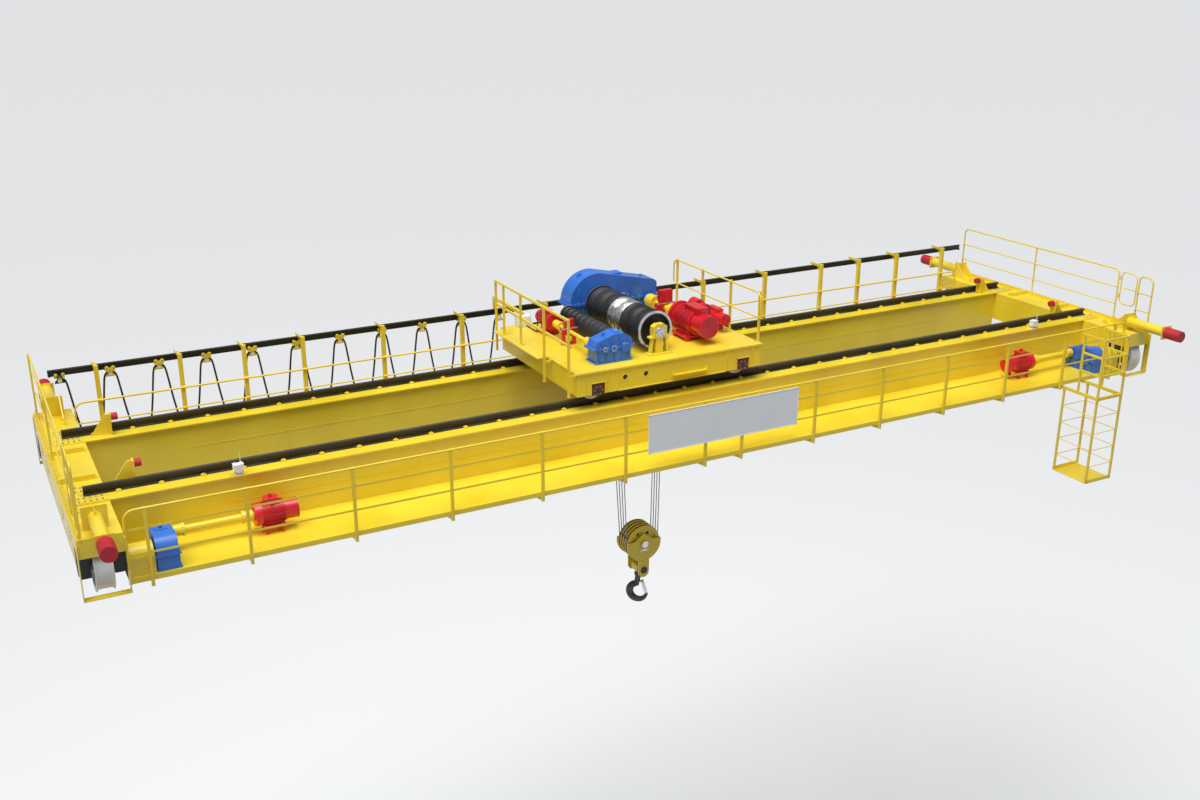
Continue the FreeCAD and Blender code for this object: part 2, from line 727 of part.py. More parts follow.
def bridge_wheel(driven):
    """A double-flanged wheel on its axle, at the front left corner."""
    y = -WHEEL_Y
    z = WHEEL_Z
    half = WHEEL_W / 2
    parts = [along_x(-half, half, y, z, WHEEL_TREAD_R)]
    for side in (-1, 1):
        parts.append(along_x(side * half, side * (half - WHEEL_FLANGE_W), y, z, WHEEL_FLANGE_R))
    tyre = joined(parts)
    for side in (-1, 1):
        recess = along_x(side * (half + 1), side * WHEEL_WEB_T / 2, y, z, WHEEL_TREAD_R - 50)
        recess = recess.cut(along_x(side * (half + 2), 0, y, z, WHEEL_HUB_R))
        tyre = tyre.cut(recess)
    end = GEARBOX_X0 - GEARBOX_RIM - SEAT_GAP if driven else CARRIAGE_W / 2 - 10
    axle = along_x(-CARRIAGE_W / 2 + 10, end, y, z, AXLE_R)
    return joined([tyre, axle])


# ---------------------------------------------------------------- bridge drives
def travel_gearbox():
    """The left reducer: a round-topped case, split on the wheel's axle line."""
    x0 = GEARBOX_X0
    x1 = x0 + GEARBOX_W
    split = WHEEL_Z + 10
    case = along_x(x0, x1, GEARBOX_Y, split, GEARBOX_R)
    small = along_x(x0, x1, FAST_Y, split + 10, GEARBOX_SMALL_R)
    rise = box(x0, x1, FAST_Y - 40, GEARBOX_Y + 60, split, split + 200)
    upper = joined([case, small, rise]).common(
        box(x0, x1, GEARBOX_Y - GEARBOX_R, FAST_Y + GEARBOX_SMALL_R, split, split + 400))
    flange = box(x0 - GEARBOX_RIM, x1 + GEARBOX_RIM, GEARBOX_Y - GEARBOX_R, FAST_Y + GEARBOX_SMALL_R,
                 split - 14, split + 14)
    lower = box(x0, x1, GEARBOX_Y - GEARBOX_R + 30, FAST_Y + GEARBOX_SMALL_R - 30, FLOOR_Z, split)
    foot = box(x0 - 25, x1 + 25, GEARBOX_Y - GEARBOX_R + 20, FAST_Y + GEARBOX_SMALL_R - 20,
               FLOOR_Z, FLOOR_Z + 25)
    boss = along_x(x1 - 10, x1 + GEARBOX_BOSS, FAST_Y, FAST_Z, COUPLING_R * 0.7)
    return joined([upper, flange, lower, foot, boss])


def foot_motor(x0, x1, y, z, r, floor, feet):
    """A foot-mounted motor along X: finned body, end bells, fan cowl and terminal box."""
    length = x1 - x0
    parts = [along_x(x0, x0 + 0.14 * length, y, z, r),
             along_x(x0 + 0.1 * length, x0 + 0.72 * length, y, z, r * 0.93),
             along_x(x0 + 0.7 * length, x1, y, z, r * 0.86),
             box(x0 + 0.26 * length, x0 + 0.56 * length, y - 0.5 * r, y + 0.5 * r, z + 0.8 * r, z + 1.35 * r),
             box(x0 + 0.16 * length, x0 + 0.66 * length, y - 0.9 * r, y + 0.9 * r, floor + feet,
                 floor + feet + 0.12 * r),
             box(x0 + 0.2 * length, x0 + 0.62 * length, y - 0.65 * r, y + 0.65 * r, floor + feet, z)]
    return joined(parts)


def travel_motor():
    """The left bridge motor on its stand."""
    x0 = GEARBOX_X0 + GEARBOX_W + GEARBOX_BOSS + 2 * COUPLING_L + FAST_SHAFT_L + 20
    x1 = x0 + MOTOR_L
    stand = 115.0
    body = foot_motor(x0, x1, FAST_Y, FAST_Z, MOTOR_R, FLOOR_Z, stand)
    legs = []
    for x in (x0 + 0.2 * MOTOR_L, x0 + 0.56 * MOTOR_L):
        for side in (-1, 1):
            legs.append(box(x, x + 40, FAST_Y + side * 120 - 20, FAST_Y + side * 120 + 20,
                            FLOOR_Z, FLOOR_Z + stand + 5))
    return joined([body] + legs)


def travel_shafting():
    """Couplings and the floating shaft between the left reducer and its motor."""
    x = GEARBOX_X0 + GEARBOX_W + GEARBOX_BOSS
    a = x + COUPLING_L
    b = a + FAST_SHAFT_L
    c = b + COUPLING_L
    parts = [along_x(x, a, FAST_Y, FAST_Z, COUPLING_R), along_x(x, c + 20, FAST_Y, FAST_Z, FAST_SHAFT_R),
             along_x(b, c, FAST_Y, FAST_Z, COUPLING_R)]
    for flange_x in (a - 30, b):
        parts.append(along_x(flange_x, flange_x + 30, FAST_Y, FAST_Z, COUPLING_R + 12))
    return joined(parts)


def axle_hood():
    """The fixed hood over the coupling between the left reducer and the driven wheel."""
    x0 = CARRIAGE_W / 2 + GUARD_BAR + 8
    x1 = GEARBOX_X0 - GEARBOX_RIM - SEAT_GAP
    y = -WHEEL_Y
    z = WHEEL_Z

    def arch(r, xa, xb, z_low):
        dome = along_x(xa, xb, y, z, r).common(box(xa, xb, y - r, y + r, z, z + r))
        return joined([dome, box(xa, xb, y - r, y + r, z_low, z)])

    shell = arch(HOOD_R, x0, x1, FLOOR_Z).cut(arch(HOOD_R - 8, x0 - 1, x1 + 1, FLOOR_Z - 1))
    return shell


# ---------------------------------------------------------------- cage, sign, switches
def inspection_cage():
    """The hanging cage outside the front walkway, with the guard over its hatch."""
    x0, x1, y0, y1 = CAGE_X0, CAGE_X1, CAGE_Y0, CAGE_Y1
    p = CAGE_POST
    z0 = CAGE_FLOOR
    z1 = CAGE_TOP
    g = SEAT_GAP
    beam_top = FLOOR_Z - FASCIA_H
    members = [box(x0, x1, y0, y1, z0, z0 + 12),
               box(x0, x0 + p, y0, -WEB_OUT, z1, beam_top), box(x1 - p, x1, y0, -WEB_OUT, z1, beam_top),
               box(x0 + p + g, x1 - p - g, y0, y0 + p, z1, beam_top)]
    for x in (x0, x1 - CAGE_ANGLE):
        for y in (y0, y1 - CAGE_ANGLE):
            members.append(box(x, x + CAGE_ANGLE, y, y + CAGE_ANGLE, z0 + 12 + g, z1 - g))
    step = (z1 - z0) / (CAGE_BARS + 1)
    a = CAGE_ANGLE + g
    for i in range(1, CAGE_BARS + 1):
        z = z0 + i * step
        for y in (y0 + CAGE_ANGLE / 2, y1 - CAGE_ANGLE / 2):
            members.append(along_x(x0 + a, x1 - a, y, z, CAGE_BAR_R))
        for x in (x0 + CAGE_ANGLE / 2, x1 - CAGE_ANGLE / 2):
            members.append(along_y(y0 + a, y1 - a, x, z, CAGE_BAR_R))
    # guard round the hatch, open towards the walkway
    q = CAGE_ANGLE
    for x in (x0, x1 - q):
        for y in (y0, HATCH_Y1 - q):
            members.append(box(x, x + q, y, y + q, beam_top + g, HATCH_TOP))
    for i in range(3):
        z = HATCH_TOP - i * HATCH_STEP
        members.append(box(x0 + q + g, x1 - q - g, y0, y0 + q, z - q, z))
        for x in (x0, x1 - q):
            members.append(box(x, x + q, y0 + q + g, HATCH_Y1 - q - g, z - q, z))
    return Part.makeCompound(members)


def sign_board():
    """The plain board on the front railing."""
    y = FRONT_RAIL_Y - POST / 2
    return box(MID - SIGN_HALF, MID + SIGN_HALF, y - SIGN_T, y, SIGN_Z0, SIGN_Z1)


def limit_switch(x):
    """A travel limit switch beside the front rail."""
    y = -HALF_GAUGE - FLANGE_W / 2
    z = GIRDER_TOP
    plate = box(x - 60, x + 60, y + 5, y + 105, z, z + 10)
    post = box(x - 12, x + 12, y + 30, y + 80, z, z + 70)
    body = box(x - 70, x + 70, y, y + 95, z + 60, z + 165)
    head = along_y(y - 10, y + 60, x, z + 110, 62)
    lever = upright(x - 50, y + 45, z + 160, z + 205, 9)
    return joined([plate, post, body, head, lever])


# ---------------------------------------------------------------- trolley
def trolley_wheel_x():
    return (TROLLEY_X - TROLLEY_WHEEL_BASE / 2, TROLLEY_X + TROLLEY_WHEEL_BASE / 2)


def trolley_frame():
    """Deck, side girders with wheel openings, cross girders, rope beam and tow arm."""
    x0 = TROLLEY_X0
    x1 = TROLLEY_X1
    under = DECK_TOP - DECK_T
    parts = [box(x0, x1, -DECK_HALF_W, DECK_HALF_W, under, DECK_TOP),
             box(x0 - LEDGE_W, x0, -440, 1430, under, DECK_TOP)]
    for side in (-1, 1):
        for y in (SIDE_WEB_OUT, SIDE_WEB_IN):
            parts.append(box(x0 + 20, x1 - 20, side * (y - SIDE_WEB_T), side * y, FRAME_BOTTOM, under))
        for x in (x0 + 20, x1 - 20 - SIDE_WEB_T, TROLLEY_X - 900, TROLLEY_X + 900):
            parts.append(box(x, x + SIDE_WEB_T, side * SIDE_WEB_IN, side * SIDE_WEB_OUT, FRAME_BOTTOM, under))
        # sole plate of the side girder, between the wheels
        parts.append(box(TROLLEY_X - 900, TROLLEY_X + 900, side * SIDE_WEB_IN, side * SIDE_WEB_OUT,
                         FRAME_BOTTOM, FRAME_BOTTOM + SIDE_WEB_T))
    for x in (x0 + 20, TROLLEY_X - 1100, TROLLEY_X + 1100, x1 - 20 - SIDE_WEB_T):
        parts.append(box(x, x + SIDE_WEB_T, -SIDE_WEB_IN, SIDE_WEB_IN, FRAME_BOTTOM, under))
    # beam that anchors the fixed rope falls
    rope_x = BLOCK_X + SHEAVE_GROOVE_R + ROPE_R + 20
    parts.append(box(rope_x - 10, rope_x + 130, -SIDE_WEB_IN, SIDE_WEB_IN, FRAME_BOTTOM + 60, under))
    # step on the front side girder
    parts.append(box(TROLLEY_X - 20, TROLLEY_X + 680, -SIDE_WEB_OUT - 70, -SIDE_WEB_OUT, 990, 1005))
    for x in (TROLLEY_X - 20, TROLLEY_X + 672):
        parts.append(box(x, x + 8, -SIDE_WEB_OUT - 70, -SIDE_WEB_OUT, 1000, 1045))
    # tow arm of the cable festoon
    tow_x = CARRIER_FIRST + (CARRIERS - 1) * CARRIER_PITCH
    z = FESTOON_Z
    s = TOW_BAR
    x_a = tow_x - s / 2
    x_b = tow_x + s / 2
    parts.append(box(x_a, x_b, DECK_HALF_W - 100, DECK_HALF_W - 100 + s, DECK_TOP, TOW_TOP))
    parts.append(box(x_a, x_b, DECK_HALF_W - 100, TOW_REACH, TOW_TOP - s, TOW_TOP))
    parts.append(box(x_a, x_b, TOW_REACH - s, TOW_REACH, z - CARRIER_BRIDGE, TOW_TOP))
    parts.append(box(x_a, x_b, FESTOON_Y - CABLE_D / 2 - 10, TOW_REACH, z - CARRIER_BRIDGE, z - 8))
    parts.append(saddle(tow_x))
    frame = joined(parts)
    for side in (-1, 1):
        for x in trolley_wheel_x():
            half = TROLLEY_BOX / 2 + 5
            opening = box(x - half, x + half, side * (SIDE_WEB_IN - 40), side * (SIDE_WEB_OUT + 10),
                          FRAME_BOTTOM - 10, TROLLEY_AXLE_Z + half)
            frame = frame.cut(opening)
    for offset in (-560.0, -150.0):
        frame = frame.cut(along_y(-SIDE_WEB_OUT - 10, -SIDE_WEB_OUT + 40, TROLLEY_X - 390 + offset, 1105, 46))
    # way through the deck for the falls that lead to the drum
    return frame.cut(box(DRUM_X - DRUM_R - 130, DRUM_X - DRUM_R + 160, BLOCK_Y - 320, BLOCK_Y + 320,
                         FRAME_BOTTOM, DECK_TOP + 10))


def trolley_railings():
    """Railings at both ends of the trolley: square members at the left, round at the right."""
    b = TROLLEY_BAR
    left_x = TROLLEY_X0 - LEDGE_W + 60
    right_x = TROLLEY_X1 - 40
    top = DECK_TOP + 920
    mid = DECK_TOP + 460
    arm_z = DECK_TOP - 60
    front_y = -1500.0
    rear_y = 1480 - b
    members = [box(left_x, left_x + b, front_y, rear_y + b, top + SEAT_GAP, top + b),
               box(left_x + b + SEAT_GAP, left_x + 2 * b, front_y, rear_y + b, mid, mid + b)]
    for y in (front_y, -570.0, 370.0, 1100.0, rear_y):
        on_ledge = -440 < y < 1430 - b
        members.append(box(left_x, left_x + b, y, y + b, DECK_TOP + SEAT_GAP if on_ledge else 900, top))
        if not on_ledge:
            members.append(box(left_x + b + SEAT_GAP, TROLLEY_X0 + 20, y, y + b, arm_z, arm_z + b))
    r = 15.0
    ends = 1480.0
    bend = 140.0
    for side in (-1, 1):
        members.append(bent_bar([V(right_x, side * ends, mid), V(right_x, side * ends, top),
                                 V(right_x, side * (ends - bend - r), top)], [bend], r))
    straight = ends - bend - r - SEAT_GAP
    members.append(along_y(-straight, straight, right_x, top, r))
    members.append(along_y(-ends + r + SEAT_GAP, ends - r - SEAT_GAP, right_x, mid, r - 1))
    for y in (-1420.0, -500.0, 460.0, 1380.0):
        members.append(box(right_x + r + SEAT_GAP, right_x + r + 36, y, y + 40, DECK_TOP, top + r))
    return Part.makeCompound(members)


def trolley_axle_box(x, y0, y1):
    """A bearing housing beside a trolley wheel."""
    half = TROLLEY_BOX / 2
    y0, y1 = min(y0, y1), max(y0, y1)
    block = box(x - half, x + half, y0, y1, TROLLEY_AXLE_Z - half + 40, TROLLEY_AXLE_Z + half + 5)
    return block.cut(along_y(y0 - 1, y1 + 1, x, TROLLEY_AXLE_Z, TROLLEY_AXLE_R + RUN_FIT))


def trolley_wheelset(x):
    """Front and rear wheel on one long axle across the trolley."""
    parts = [along_y(-SIDE_WEB_OUT + 30, SIDE_WEB_OUT - 30, x, TROLLEY_AXLE_Z, TROLLEY_AXLE_R)]
    half = TROLLEY_WHEEL_W / 2
    for side in (-1, 1):
        y = side * HALF_GAUGE
        parts.append(along_y(y - half, y + half, x, TROLLEY_AXLE_Z, TROLLEY_TREAD_R))
        for edge in (-1, 1):
            parts.append(along_y(y + edge * (half - 24), y + edge * half, x, TROLLEY_AXLE_Z,
                                 TROLLEY_FLANGE_R))
    return joined(parts)


def hoist_gearbox():
    """The main reducer at the rear of the drum: a high round case that slopes to its fast end."""
    y0 = HOIST_BOX_Y0
    y1 = HOIST_BOX_Y1
    x = DRUM_X - 60
    z = DRUM_Z
    big = 560.0
    slope = plate_xz([(x, z + big), (x + 0.32 * big, z + 0.95 * big), (FAST_LINE_X + 150, z + 300),
                      (FAST_LINE_X + 200, z + 250), (FAST_LINE_X + 200, z), (x, z)], y0, y1)
    upper = joined([along_y(y0, y1, x, z, big), slope])
    upper = upper.common(box(x - big, FAST_LINE_X + 300, y0, y1, z, z + big))
    flange = box(x - big - 50, FAST_LINE_X + 250, y0 - 30, y1 + 30, z - 22, z + 22)
    lower = plate_xz([(x - big + 30, z), (x - 0.7 * big, DECK_TOP), (FAST_LINE_X + 160, DECK_TOP),
                      (FAST_LINE_X + 180, z)], y0, y1)
    foot = box(x - big + 20, FAST_LINE_X + 230, y0 - 30, y1 + 30, DECK_TOP, DECK_TOP + 40)
    bosses = [along_y(y0 - 45, y0, FAST_LINE_X, FAST_LINE_Z, 100), along_y(y0 - 45, y0, DRUM_X, z, 150)]
    whole = joined([upper, flange, lower, foot] + bosses)
    # seat of the drum's shaft end
    return whole.cut(along_y(y0 - 60, y0 + 40, DRUM_X, z, DRUM_SHAFT_R + RUN_FIT))


def motor_along_y(x, z, y0, y1, r, base):
    """A foot-mounted motor along Y, its drive end at the high Y side."""
    length = y1 - y0
    parts = [along_y(y1 - 0.07 * length, y1, x, z, r * 1.04),
             along_y(y0 + 0.34 * length, y1, x, z, r * 0.94),
             along_y(y0, y0 + 0.36 * length, x, z, r * 0.82),
             box(x - 0.45 * r, x + 0.45 * r, y0 + 0.22 * length, y0 + 0.66 * length,
                 z + 0.75 * r, z + 1.16 * r),
             box(x - 1.05 * r, x + 1.05 * r, y0 + 0.36 * length, y0 + 0.86 * length, base, base + 0.14 * r),
             box(x - 0.72 * r, x + 0.72 * r, y0 + 0.4 * length, y0 + 0.82 * length, base, z)]
    return joined(parts)


def hoist_motor():
    """The main hoist motor and its stand."""
    stand = DECK_TOP + 60
    body = motor_along_y(FAST_LINE_X, FAST_LINE_Z, HOIST_MOTOR_Y0, HOIST_MOTOR_Y1, HOIST_MOTOR_R, stand)
    legs = []
    for y in (HOIST_MOTOR_Y0 + 390, HOIST_MOTOR_Y0 + 800):
        for side in (-1, 1):
            x = FAST_LINE_X + side * 220
            legs.append(box(x - 30, x + 30, y - 30, y + 30, DECK_TOP, stand + 5))
    return joined([body] + legs)


def aux_motor():
    """The auxiliary hoist motor, its drive end towards the front."""
    stand = DECK_TOP + 40
    y0 = AUX_MOTOR_Y0
    y1 = AUX_MOTOR_Y1
    body = motor_along_y(AUX_LINE_X, AUX_LINE_Z, -y1, -y0, AUX_MOTOR_R, stand)
    feet = box(AUX_LINE_X - 150, AUX_LINE_X + 150, -y0 - 440, -y0 - 90, DECK_TOP, stand + 2)
    return to_rear(joined([body, feet]))


def fast_line(x, z, y0, y1, r, cuts):
    """A line of couplings on one shaft; cuts are the pairs of Y values each coupling fills."""
    parts = [along_y(y0, y1, x, z, r * 0.42)]
    for a, b in cuts:
        parts.append(along_y(a, b, x, z, r))
        parts.append(along_y(a, a + 0.2 * (b - a), x, z, r * 1.13))
    return joined(parts)


def brake(x, z, y, r, base, hood):
    """A drum brake: wheel, two shoes, a frame and its thruster on top."""
    parts = [along_y(y - 45, y + 45, x, z, r),
             box(x - r - 40, x + r + 40, y - 40, y + 40, base, base + 30)]
    for side in (-1, 1):
        parts.append(box(x + side * (r - 15), x + side * (r + 40), y - 40, y + 40, base, z + 0.6 * r))
    parts.append(box(x - 0.9 * r, x + 0.9 * r, y - 50, y + 50, z + 0.75 * r, z + r + hood))
    return joined(parts)


def drum(x, z, y0, y1, r, flange_r, shaft_y0, shaft_y1):
    """A rope drum with end flanges on its shaft."""
    parts = [along_y(y0, y1, x, z, r)]
    parts.append(along_y(y0, y0 + DRUM_FLANGE_T, x, z, flange_r))
    parts.append(along_y(y1 - DRUM_FLANGE_T, y1, x, z, flange_r))
    shell = joined(parts)
    # thin shell, with its end discs set back from the mouths
    shell = shell.cut(along_y(y0 - 1, y1 + 1, x, z, r - DRUM_WALL))
    discs = [along_y(y, y + DRUM_WALL, x, z, r - DRUM_WALL / 2) for y in (y0 + 90, y1 - 90 - DRUM_WALL)]
    return joined([shell] + discs + [along_y(shaft_y0, shaft_y1, x, z, DRUM_SHAFT_R)])


def drum_pedestal():
    """The bearing pedestal at the front of the main drum."""
    x = DRUM_X
    y0 = DRUM_Y0 - 170
    y1 = y0 + 110
    z = DRUM_Z
    parts = [box(x - 240, x + 240, y0 - 40, y1 + 40, DECK_TOP, DECK_TOP + 22),
             box(x - 70, x + 70, y0 + 10, y1 - 10, DECK_TOP, z),
             plate_xz([(x - 190, DECK_TOP + 20), (x - 150, DECK_TOP + 20),
                       (x - 110, z - 90), (x - 150, z - 90)], y0 + 20, y1 - 20),
             plate_xz([(x + 190, DECK_TOP + 20), (x + 150, DECK_TOP + 20),
                       (x + 110, z - 90), (x + 150, z - 90)], y0 + 20, y1 - 20),
             box(x - 200, x + 200, y0, y1, z - 100, z - 70),
             box(x - 140, x + 140, y0, y1, z - 75, z + 60),
             plate_xz([(x - 140, z + 60), (x + 140, z + 60), (x + 140, z + 105), (x + 70, z + 150),
                       (x - 70, z + 150), (x - 140, z + 105)], y0, y1)]
    return joined(parts).cut(along_y(y0 - 1, y1 + 1, x, z, DRUM_SHAFT_R + RUN_FIT))


def aux_gearbox():
    """The auxiliary reducer: a split case with a sloping lid and feet."""
    y0 = AUX_BOX_Y0
    y1 = AUX_BOX_Y1
    x0 = AUX_LINE_X - 140
    x1 = AUX_DRUM_X + 130
    z = AUX_DRUM_Z
    lid = plate_xz([(x0, z), (x0 + 40, z + 130), (AUX_DRUM_X - 200, z + 240), (AUX_DRUM_X - 40, z + 240),
                    (x1 - 10, z + 130), (x1, z)], y0 + 20, y1 - 20)
    flange = box(x0 - 50, x1 + 50, y0, y1, z - 15, z + 15)
    case = box(x0 + 20, x1 - 30, y0 + 20, y1 - 20, DECK_TOP, z)
    foot = box(x0, x1 - 10, y0, y1, DECK_TOP, DECK_TOP + 25)
    boss = along_y(y0 - 20, y0 + 30, AUX_DRUM_X - 20, z - 25, 75)
    small_boss = along_y(y0 - 12, y0 + 30, AUX_LINE_X + 60, z - 20, 48)
    whole = joined([lid, flange, case, foot, boss, small_boss])
    return whole.cut(along_y(y1 - 60, y1 + 1, AUX_DRUM_X, AUX_DRUM_Z, DRUM_SHAFT_R + RUN_FIT))


def aux_bearing():
    """The rear bearing stand of the auxiliary drum."""
    x = AUX_DRUM_X
    y0 = AUX_DRUM_Y1 + 20
    stand = joined([box(x - 90, x + 90, y0, y0 + 60, DECK_TOP, AUX_DRUM_Z + 40),
                    along_y(y0, y0 + 60, x, AUX_DRUM_Z, 95)])
    return stand.cut(along_y(y0 - 1, y0 + 61, x, AUX_DRUM_Z, DRUM_SHAFT_R + RUN_FIT))


def trolley_drive():
    """The trolley's travel motor, its brake and the reducer beside the right axle."""
    x = trolley_wheel_x()[1] + 160
    z = DECK_TOP + 250
    motor = motor_along_y(x, z, -700, 100, 135, DECK_TOP + 50)
    base = box(x - 130, x + 130, -440, 10, DECK_TOP, DECK_TOP + 52)
    case = box(x - 120, x + 120, 190, 420, DECK_TOP, z + 90)
    lid = along_y(190, 420, x, z + 60, 120)
    neck = along_y(90, 200, x, z, 75)
    return joined([motor, base, case, lid, neck])


# ---------------------------------------------------------------- hook block
def sheave_offsets():
    return [(i - 1.5) * SHEAVE_PITCH for i in range(4)]


def block_frame():
    """Cheek plates of the hook block, their pin and the cross head that holds the hook."""
    x = BLOCK_X
    z = BLOCK_Z
    parts = []
    for side in (-1, 1):
        y_a = BLOCK_Y + side * (BLOCK_HALF_T - BLOCK_PLATE_T)
        y_b = BLOCK_Y + side * BLOCK_HALF_T
        disc = along_y(y_a, y_b, x, z, BLOCK_R)
        outline = [(x - BLOCK_R, z + 60), (x - 200, z + 60), (x, z + 210), (x + 200, z + 60),
                   (x + BLOCK_R, z + 60), (x + BLOCK_R, z - BLOCK_R), (x - BLOCK_R, z - BLOCK_R)]
        disc = disc.common(plate_xz(outline, y_a, y_b))
        strap = box(x - 115, x + 115, y_a, y_b, z + TRUNNION_Z - 60, z - 200)
        toe = along_y(y_a, y_b, x, z + TRUNNION_Z - 40, 115)
        parts += [disc, strap, toe]
    parts.append(along_y(BLOCK_Y - BLOCK_HALF_T - 35, BLOCK_Y + BLOCK_HALF_T + 35, x, z, BLOCK_PIN_R))
    head = along_y(BLOCK_Y - BLOCK_HALF_T - 20, BLOCK_Y + BLOCK_HALF_T + 20, x, z + TRUNNION_Z, 55)
    middle = box(x - 90, x + 90, BLOCK_Y - 110, BLOCK_Y + 110, z + TRUNNION_Z - 70, z + TRUNNION_Z + 60)
    parts += [head, middle]
    frame = joined(parts)
    # bore that the hook's shank turns in
    bore = upright(x, BLOCK_Y, z + TRUNNION_Z - 200, z + TRUNNION_Z + 30, HOOK_SHANK_R + RUN_FIT)
    return frame.cut(bore)


def sheaves():
    """The four rope sheaves, side by side with their running gaps, on one sleeve."""
    x = BLOCK_X
    z = BLOCK_Z
    parts = [along_y(BLOCK_Y - 2 * SHEAVE_PITCH + 6, BLOCK_Y + 2 * SHEAVE_PITCH - 6, x, z, BLOCK_PIN_R + 30)]
    for dy in sheave_offsets():
        y = BLOCK_Y + dy
        half = SHEAVE_W / 2
        depth = SHEAVE_R - SHEAVE_GROOVE_R
        profile = [V(x, y - half, z + 60), V(x, y - half, z + SHEAVE_R),
                   V(x, y - 14, z + SHEAVE_R - 6), V(x, y, z + SHEAVE_R - depth),
                   V(x, y + 14, z + SHEAVE_R - 6), V(x, y + half, z + SHEAVE_R),
                   V(x, y + half, z + 60)]
        ring = Part.Face(Part.makePolygon(profile + profile[:1])).revolve(V(x, y, z), V(0, 1, 0), 360)
        parts.append(ring)
    pack = joined(parts)
    # light webs: the pack is dished between rim and hub on both outer faces
    for side in (-1, 1):
        y = BLOCK_Y + side * 2 * SHEAVE_PITCH
        dish = along_y(y - side * 60, y, x, z, SHEAVE_GROOVE_R - 45)
        pack = pack.cut(dish.cut(along_y(y - side * 61, y + side, x, z, BLOCK_PIN_R + 30)))
    return pack.cut(along_y(BLOCK_Y - BLOCK_HALF_T, BLOCK_Y + BLOCK_HALF_T, x, z, BLOCK_PIN_R + RUN_FIT))


def with_hook(shape):
    """A piece drawn with the mouth towards high X, turned about the shank to where the hook hangs."""
    copy = shape.copy()
    copy.rotate(V(BLOCK_X, BLOCK_Y, 0), V(0, 0, 1), HOOK_TURN)
    return copy


def hook():
    """The forged hook: shank, thick bowl that tapers to its tip."""
    x = BLOCK_X
    y = BLOCK_Y
    z = BLOCK_Z + HOOK_CENTRE_Z
    r = HOOK_BOWL_R + HOOK_THICK
    shank_top = BLOCK_Z + TRUNNION_Z + 30 - SEAT_GAP
    parts = [upright(x, y, z + 150, shank_top, HOOK_SHANK_R)]
    # the bowl is a chain of discs hulled by short cones round an arc of 235 degrees
    steps = 10
    start = 100.0
    sweep = 235.0
    path = []
    for i in range(steps + 1):
        angle = math.radians(start + sweep * i / steps)
        path.append(V(x + r * math.cos(angle), y, z + r * math.sin(angle)))
    for i in range(steps):
        share_a = i / steps
        share_b = (i + 1) / steps
        ra = HOOK_THICK * (1.0 + 0.25 * math.sin(math.pi * share_a)) * (1 - 0.45 * share_a ** 3)
        rb = HOOK_THICK * (1.0 + 0.25 * math.sin(math.pi * share_b)) * (1 - 0.45 * share_b ** 3)
        line = path[i + 1] - path[i]
        parts.append(Part.makeCone(ra, rb, line.Length, path[i], line))
        parts.append(Part.makeSphere(rb, path[i + 1]))
    neck = rod(path[0], V(x, y, z + 300), HOOK_THICK * 0.95)
    parts += [neck, Part.makeSphere(HOOK_THICK, path[0])]
    pivot = latch_pivot()
    parts.append(box(x, pivot.x + 14, y - LUG_T / 2, y + LUG_T / 2, pivot.z - 14, pivot.z + 14))
    parts.append(along_y(y - LATCH_W / 2 - 3, y + LATCH_W / 2 + 3, pivot.x, pivot.z, LATCH_PIN_R))
    return with_hook(joined(parts))


def latch_pivot():
    return V(BLOCK_X + LATCH_X, BLOCK_Y, BLOCK_Z + HOOK_CENTRE_Z + LATCH_Z)


def hook_latch():
    """The spring latch that closes the hook's throat, forked round the hook's lug."""
    pivot = latch_pivot()
    x = pivot.x
    z = pivot.z
    blade = plate_xz([(x - 16, z + 12), (x + 18, z + 10), (x + 92, z - 232), (x + 58, z - 244)],
                     BLOCK_Y - LATCH_W / 2, BLOCK_Y + LATCH_W / 2)
    slot = box(x - 40, x + 45, BLOCK_Y - LUG_T / 2 - SEAT_GAP, BLOCK_Y + LUG_T / 2 + SEAT_GAP, z - 45, z + 40)
    bore = along_y(BLOCK_Y - LATCH_W, BLOCK_Y + LATCH_W, x, z, LATCH_PIN_R + RUN_FIT)
    return with_hook(blade.cut(slot).cut(bore))


def drum_falls():
    """The four rope falls from the block to the main drum."""
    falls = []
    x_low = BLOCK_X - SHEAVE_GROOVE_R - ROPE_R - 30
    x_top = DRUM_X - DRUM_R - ROPE_R - ROPE_SEAT
    for dy in sheave_offsets():
        falls.append(rod(V(x_low, BLOCK_Y + dy, BLOCK_Z), V(x_top, BLOCK_Y + dy * 1.6, DRUM_Z), ROPE_R))
    return Part.makeCompound(falls)


def anchor_falls():
    """The four rope falls from the block to the beam under the trolley."""
    falls = []
    x = BLOCK_X + SHEAVE_GROOVE_R + ROPE_R + 30
    for dy in sheave_offsets():
        falls.append(rod(V(x, BLOCK_Y + dy, BLOCK_Z), V(x + 30, BLOCK_Y + dy, FRAME_BOTTOM + 59), ROPE_R))
    return Part.makeCompound(falls)


# ---------------------------------------------------------------- write everything
left_carriage = end_carriage()
save("left_end_carriage", left_carriage)
save("right_end_carriage", to_right(left_carriage))
front = girder()
save("front_girder", front)
save("rear_girder", to_rear(front))
front_rail = rail()
save("trolley_rails", Part.makeCompound([front_rail, to_rear(front_rail)]))


def four(shape):
    """A corner piece at all four corners, as separate solids."""
    right = to_right(shape)
    return Part.makeCompound([shape, right, to_rear(shape), to_rear(right)])


